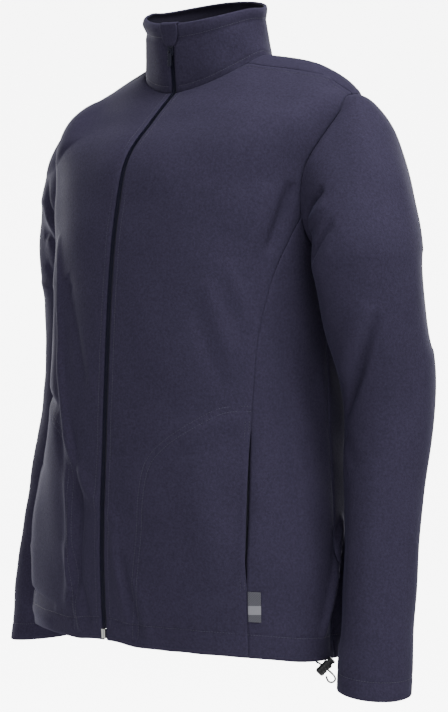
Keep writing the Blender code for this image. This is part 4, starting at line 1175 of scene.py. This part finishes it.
class JacketSettings(bpy.types.PropertyGroup):
    fleece_colour: bpy.props.StringProperty(
        name="Fleece colour", description="Dyed colour of the fleece, sRGB hex", default="#272433")
    thread_colour: bpy.props.StringProperty(
        name="Thread colour", description="Colour of the topstitching thread, sRGB hex",
        default="#252333")
    tape_colour: bpy.props.StringProperty(
        name="Tape colour", description="Colour of the zip's tapes and coils, sRGB hex",
        default="#0E0E20")
    fold_strength: bpy.props.FloatProperty(
        name="Fold strength", description="How deep the folds are: 1 is as worn, 0 is flat",
        default=1.0, min=0.0, max=1.5, subtype="FACTOR")
    stitch_pitch: bpy.props.FloatProperty(
        name="Stitch pitch", description="From one stitch to the next",
        default=3.2 * MM, unit="LENGTH")
    tooth_pitch: bpy.props.FloatProperty(
        name="Tooth pitch", description="From one zip tooth to the next on one side",
        default=1.35 * MM, unit="LENGTH")
    light_strength: bpy.props.FloatProperty(
        name="Light strength", description="Brightness of the studio lights together",
        default=1.0, min=0.0)


CAMERA_TURN = 43                # degrees round from the front towards the wearer's left
CAMERA_AWAY, CAMERA_HEIGHT, CAMERA_GOAL = 2.48, -0.276, (0.0162, 0.0151, -0.363)
LIGHT_BASE, LIGHT_GOAL = -0.3, (0, 0, -0.35)
FLOOR, SWEEP_RADIUS, WALL_AWAY, WALL_TOP = -1.7, 1.4, 5.4, 2.6
LIGHTS = (
    # name, degrees round from the camera, height over LIGHT_BASE, distance, size, watts
    ("key_left",    -28, 1.50, 2.8, 1.4, 36),
    ("fill_front",   18, 0.60, 3.0, 1.6, 30),
    ("side_right",   60, 1.20, 2.8, 1.6, 46),
    ("rim_left",   -142, 0.40, 2.2, 0.9, 85),
    ("rim_right",   142, 0.50, 2.2, 0.9, 80),
    ("top",          40, 2.20, 0.9, 1.6, 120),
)


def aimed(name, data, azimuth, distance, height, goal):
    """Set a camera or lamp round the jacket, facing a goal."""
    angle = math.radians(CAMERA_TURN + azimuth)
    holder = link(bpy.data.objects.new(name, data))
    holder.location = (distance * math.sin(angle), -distance * math.cos(angle), height)
    away = Vector(goal) - holder.location
    holder.rotation_euler = away.to_track_quat("-Z", "Y").to_euler()
    return holder


class JACKET_OT_stage(bpy.types.Operator):
    """Set up the camera, the pale sweep and the soft lights"""
    bl_idname = "jacket.stage"
    bl_label = "Stage"

    def execute(self, context):
        camera = bpy.data.cameras.new("camera")
        camera.lens = 101.9
        camera.sensor_width = 36
        context.scene.camera = aimed("camera", camera, 0, CAMERA_AWAY, CAMERA_HEIGHT, CAMERA_GOAL)
        self.sweep()
        for name, azimuth, height, distance, size, power in LIGHTS:
            lamp = bpy.data.lights.new(name, "AREA")
            lamp.shape = "DISK"
            lamp.size = size
            lamp.energy = power * settings().light_strength
            aimed(name, lamp, azimuth, distance, LIGHT_BASE + height, LIGHT_GOAL)
        world = bpy.data.worlds.new("studio")
        world.use_nodes = True
        fill(world.node_tree.nodes["Background"], {"Color": linear("#FFFFFF"), "Strength": 0.4})
        context.scene.world = world
        return {"FINISHED"}

    def sweep(self):
        """A pale floor, and behind the jacket a lit white wall that curves down to it."""
        turn = math.radians(CAMERA_TURN)
        toward = np.array([-math.sin(turn), math.cos(turn), 0])
        across = np.array([toward[1], -toward[0], 0])
        curve = [(WALL_AWAY - SWEEP_RADIUS + SWEEP_RADIUS * math.sin(a),
                  FLOOR + SWEEP_RADIUS * (1 - math.cos(a)))
                 for a in np.linspace(0, math.pi / 2, 16)]
        for name, profile, half_width, glow in (
            ("paper_floor", [(-6.0, FLOOR), curve[0]], 6.0, 0.15),
            ("lit_wall", curve + [(WALL_AWAY, WALL_TOP)], 2.9, 6.0),
        ):
            vertices = [toward * y + across * x + np.array([0, 0, z])
                        for y, z in profile for x in (-half_width, half_width)]
            faces = [(2 * k, 2 * k + 1, 2 * k + 3, 2 * k + 2) for k in range(len(profile) - 1)]
            material, _, shader = new_material("white_" + name, 0.9)
            fill(shader, {"Base Color": linear("#F4F4F4"), "Emission Color": linear("#FFFFFF"),
                          "Emission Strength": glow})
            mesh_object(name, vertices, faces, material)


class JACKET_OT_cord(bpy.types.Operator):
    """Lay the elastic hem cord through its lock, and finish the lock"""
    bl_idname = "jacket.cord"
    bl_label = "Hem cord and lock"

    def execute(self, context):
        route = smooth_rows(CORD_ROUTE, np.linspace(0, len(CORD_ROUTE) - 1, 480))
        points = at_fractions(route, np.linspace(0, 1, 26))
        curve = bpy.data.curves.new("elastic_cord", "CURVE")
        curve.dimensions = "3D"
        curve.bevel_depth = CORD_DIAMETER / 2
        curve.bevel_resolution = 4
        curve.use_fill_caps = True
        spline = curve.splines.new("POLY")
        spline.points.add(len(points) - 1)
        for place, point in zip(spline.points, points):
            place.co = (*point, 1.0)
        spline.use_smooth = True
        curve.materials.append(braided_elastic())
        cord = link(bpy.data.objects.new("elastic_cord", curve))
        attach(cord, "hem_cord")
        plastic = smooth_solid("moulded_black_nylon", "#0A0A0E", 0.45, gloss=0.3)
        for node in ("cord_lock_barrel", "cord_lock_plunger"):
            finish_node(node, plastic)
        return {"FINISHED"}


class JACKET_OT_fronts(bpy.types.Operator):
    """Shape the two fronts, from the zip to the pocket seam, armhole and shoulder"""
    bl_idname = "jacket.fronts"
    bl_label = "Fronts"

    def execute(self, context):
        right = outline(princess_seam, FRONT_SHARE, 0)
        left = beside_zip(ZIP_HALF_OPENING, edge_levels(*ZIP_LEVELS))
        places = between(left, right, FRONT_COLUMNS)
        for side, name in SIDES:
            panel, cut = body_cloth("fleece_front_" + name, places, side, (0.45, 0, 0.5, 0), (0, 1),
                                    (-1, -1.8 * MM, 2.0 * MM))
            declare_cloth(panel, "front_" + name)
        return {"FINISHED"}


class JACKET_OT_sides(bpy.types.Operator):
    """Shape the two side panels, from the pocket seam to the side seam"""
    bl_idname = "jacket.sides"
    bl_label = "Side panels"

    def execute(self, context):
        rows = np.linspace(0, 1, 190)
        top = loop_part(FRONT_SHARE, UNDER_SHARE, SIDE_COLUMNS)
        places = between(at_fractions(princess_seam, rows), at_fractions(side_seam, rows),
                         SIDE_COLUMNS, last_row=top)
        for side, name in SIDES:
            panel, cut = body_cloth("fleece_side_" + name, places, side,
                                    pocket=(0, 3.0 * MM, 1.6 * MM))
            declare_cloth(panel, "side_" + name)
        return {"FINISHED"}


class JACKET_OT_back(bpy.types.Operator):
    """Shape the back, in one piece from side seam to side seam"""
    bl_idname = "jacket.back"
    bl_label = "Back"

    def execute(self, context):
        left = outline(side_seam, UNDER_SHARE, 1)
        right = np.stack([left[:, 0], 2 * math.pi - left[:, 1]], 1)
        places = between(left, right, BACK_COLUMNS, edge_levels(*BACK_LEVELS) - left[:, 0])
        panel, cut = body_cloth("fleece_back", places, 1)
        declare_cloth(panel, "back")
        return {"FINISHED"}


class JACKET_OT_sleeves(bpy.types.Operator):
    """Shape the two set-in sleeves, from armhole to turned-up cuff"""
    bl_idname = "jacket.sleeves"
    bl_label = "Sleeves"

    def execute(self, context):
        for side, name, *sleeve in SLEEVES:
            base, outer, normals = sleeve_surface(side, *sleeve)
            depth = cloth_depth(base[..., 2], base[-1, :, 2] + CUFF_BAND)[::-1, ::side]
            outer, normals = (grid[::-1] for grid in to_side(side, outer, normals))
            sleeve = cloth_wall("fleece_sleeve_" + name, outer, normals, depth, brushed_fleece(),
                                (0, 0, 0.5, 0), around=True)
            declare_cloth(sleeve, "sleeve_" + name)
        return {"FINISHED"}


class JACKET_OT_collar(bpy.types.Operator):
    """Shape the stand-up collar with its rolled top, and the flap over the zip's end"""
    bl_idname = "jacket.collar"
    bl_label = "Collar and zip garage"

    def execute(self, context):
        start = math.asin(ZIP_HALF_OPENING / COLLAR[0][2])
        turns = np.linspace(start, 2 * math.pi - start, 170)
        base, outer, normals = collar_surface(np.linspace(0, 1, 56), turns)
        outer[:, 0, 0], outer[:, -1, 0] = ZIP_HALF_OPENING, -ZIP_HALF_OPENING
        normals[:, (0, -1), 0] = 0
        # The collar's inside faces get the fleece at 0.28 of its colour: painted shade where the
        # inside of the collar lies in shadow
        collar = cloth_wall("fleece_collar", outer, unit(normals), DOUBLE, brushed_fleece(),
                            (0.3, 0.3, 0, 0.5), inside_painted_shade=brushed_fleece("fleece_inner_collar_painted_shade", 0.28))
        declare_cloth(collar, "collar")
        grid = garage_surface()
        flap = cloth_wall("fleece_garage", grid, grid_normals(grid), GARAGE_THICK, brushed_fleece(),
                          (0.45, 0.45, 0.5, 0.5))
        declare_cloth(flap, "zip_garage")
        return {"FINISHED"}


class JACKET_OT_zip(bpy.types.Operator):
    """Make the zip's tapes and teeth, and finish its slider, pull, box and pin"""
    bl_idname = "jacket.zip"
    bl_label = "Zip"

    def execute(self, context):
        start = ZIP_GAP + BOX_TALL + ZIP_GAP
        end = distance_at_height(4 * MM)
        tape = woven_tape(settings().tape_colour, 0.7 * MM)
        nylon = smooth_solid("nylon_zip_coil", settings().tape_colour, 0.7, gloss=0.08)
        for side, name in SIDES:
            grid, normal = zip_strip(np.linspace(start, end, 260), side)
            strip = cloth_wall("tape_" + name, grid, normal, TAPE_THICK, tape, (0.3, 0.3, 0, 0))
            declare_cloth(strip, "zip_tape_" + name)
            points, normals = centre_at(np.linspace(start, end, 300))
            points = points + normals * COIL_DEPTH
            points[:, 0] = side * COIL_MIDDLE
            if side < 0:
                points = points[4:] * 0.5 + points[:-4] * 0.5
            teeth = along_lines("coil_" + name, [points], settings().tooth_pitch, TOOTH, nylon)
            attach(teeth, "zip_coil_" + name)
        painted = smooth_solid("painted_zinc_slider", "#20202E", 0.32, 0.6)
        nickel = smooth_solid("nickel_plated_brass", "#C9C9C6", 0.24, 1.0)
        for node, finish in (("zip_slider", painted), ("zip_pull", painted),
                             ("zip_box", nickel), ("zip_pin", nickel)):
            finish_node(node, finish)
        return {"FINISHED"}


class JACKET_OT_pockets(bpy.types.Operator):
    """Hang the thin pocket bags behind the fronts"""
    bl_idname = "jacket.pockets"
    bl_label = "Pocket bags"

    def execute(self, context):
        across, up = np.linspace(0, 1, 40), np.linspace(0, 1, 60)
        low, high = level_at([BAG_LOW, BAG_HIGH], [0.6, 0.6])
        levels = low + (high - low) * up
        near = princess_turn(levels) + BAG_PAST_SEAM
        far = BAG_FAR_TURN + BAG_SLANT * up ** 3
        turns = far[:, None] + (near - far)[:, None] * across
        levels = np.repeat(levels[:, None], len(across), axis=1)
        belly = np.outer(np.sin(math.pi * np.clip(up, 0.02, 0.98)) ** 0.5,
                         np.sin(math.pi * across) ** 0.6)
        depth = CLOTH + BAG_GAP + BAG_DEPTH * belly
        base = body_point(levels, turns)
        normal = body_normal(levels, turns)
        mesh = knitted_lining()
        for side, name in SIDES:
            grid, out = to_side(side, base - normal * depth[..., None], normal)
            grid = grid + out * np.minimum(body_cover(grid + out * CLOTH), 0)[..., None]
            bag = cloth_wall("mesh_bag_" + name, grid, out, 1.0 * MM, mesh, (0.3, 0.3, 0.3, 0.3))
            declare_cloth(bag, "pocket_bag_" + name)
        return {"FINISHED"}


class JACKET_OT_label(bpy.types.Operator):
    """Sew the plain woven label into the pocket seam"""
    bl_idname = "jacket.label"
    bl_label = "Side label"

    def execute(self, context):
        low, high = level_at([LABEL_LOW, LABEL_HIGH], [1.0, 1.0])
        levels, share = np.meshgrid(np.linspace(low, high, 36), np.linspace(0, 1, 18),
                                    indexing="ij")
        turns = princess_turn(0.5) + LABEL_FROM_SEAM + share * LABEL_WIDE
        base, normal = body_point(levels, turns), body_normal(levels, turns)
        lift = body_cover(base) + (0.9 + 0.9 * share) * MM
        grid = base + normal * np.maximum(lift, 0.3 * MM)[..., None]
        label = cloth_wall("woven_label", grid, normal, 0.5 * MM, woven_label(),
                           (0, 0.4, 0.3, 0.3))
        declare_cloth(label, "side_label")
        return {"FINISHED"}


class JACKET_OT_stitching(bpy.types.Operator):
    """Run the topstitching along the zip, hem, cuffs, pockets, shoulders and collar"""
    bl_idname = "jacket.stitching"
    bl_label = "Topstitching"

    def execute(self, context):
        lines = []
        for side in (1, -1):
            lines.append(on_body(beside_zip(ZIP_ROW, np.linspace(0.25, NECK, 220)), side))
            for inset in POCKET_ROWS:
                lines.append(on_body(pocket_arc(1, inset), side))
            for offset in SLIT_ROWS:
                seam = at_fractions(princess_seam, np.linspace(0, 1, 240))
                seam = offset_seam(seam, offset * FRONT_TO_SHOULDER)
                heights = body_point(*seam.T)[:, 2]
                beside = (heights > SLIT_LOW - 6 * MM) & (heights < SLIT_HIGH + 10 * MM)
                lines.append(on_body(seam[beside], side))
            lines.append(on_body(offset_seam(shoulder_seam, SHOULDER_ROW), side))
        lines.append(on_body(hem_places(0.03, 2 * math.pi - 0.03, 500), 1))
        for side, _, *sleeve in SLEEVES:
            _, outer, normals = sleeve_surface(side, *sleeve)
            lines.append(cuff_line(outer + normals * THREAD_LIFT, 4, 240) * (side, 1, 1))
        turns = np.linspace(0.11, 2 * math.pi - 0.11, 300)
        for rise in COLLAR_ROWS:
            outer, normals = collar_surface(np.array([rise, rise + 0.01]), turns)[1:]
            lines.append(outer[0] + normals[0] * THREAD_LIFT)
        thread = smooth_solid("spun_polyester_thread", settings().thread_colour, 0.75)
        stitches = along_lines("topstitching", lines, settings().stitch_pitch, STITCH, thread)
        attach(stitches)
        return {"FINISHED"}


class JACKET_PT_panel(bpy.types.Panel):
    bl_idname = "JACKET_PT_panel"
    bl_label = "Jacket"
    bl_space_type = "VIEW_3D"
    bl_region_type = "UI"
    bl_category = "Jacket"

    def draw(self, context):
        for name in JacketSettings.__annotations__:
            self.layout.prop(context.scene.jacket, name)
        for operator in OPERATORS:
            self.layout.operator(operator.bl_idname)


OPERATORS = (JACKET_OT_stage, JACKET_OT_cord, JACKET_OT_fronts, JACKET_OT_sides, JACKET_OT_back,
             JACKET_OT_sleeves, JACKET_OT_collar, JACKET_OT_zip, JACKET_OT_pockets,
             JACKET_OT_label, JACKET_OT_stitching)
CLASSES = (JacketSettings, *OPERATORS, JACKET_PT_panel)


def register():
    for cls in CLASSES:
        bpy.utils.register_class(cls)
    bpy.types.Scene.jacket = bpy.props.PointerProperty(type=JacketSettings)


def unregister():
    del bpy.types.Scene.jacket
    for cls in reversed(CLASSES):
        bpy.utils.unregister_class(cls)


def main():
    register()
    for operator in OPERATORS:
        group, name = operator.bl_idname.split(".")
        getattr(getattr(bpy.ops, group), name)()


if __name__ == "__main__":
    main()
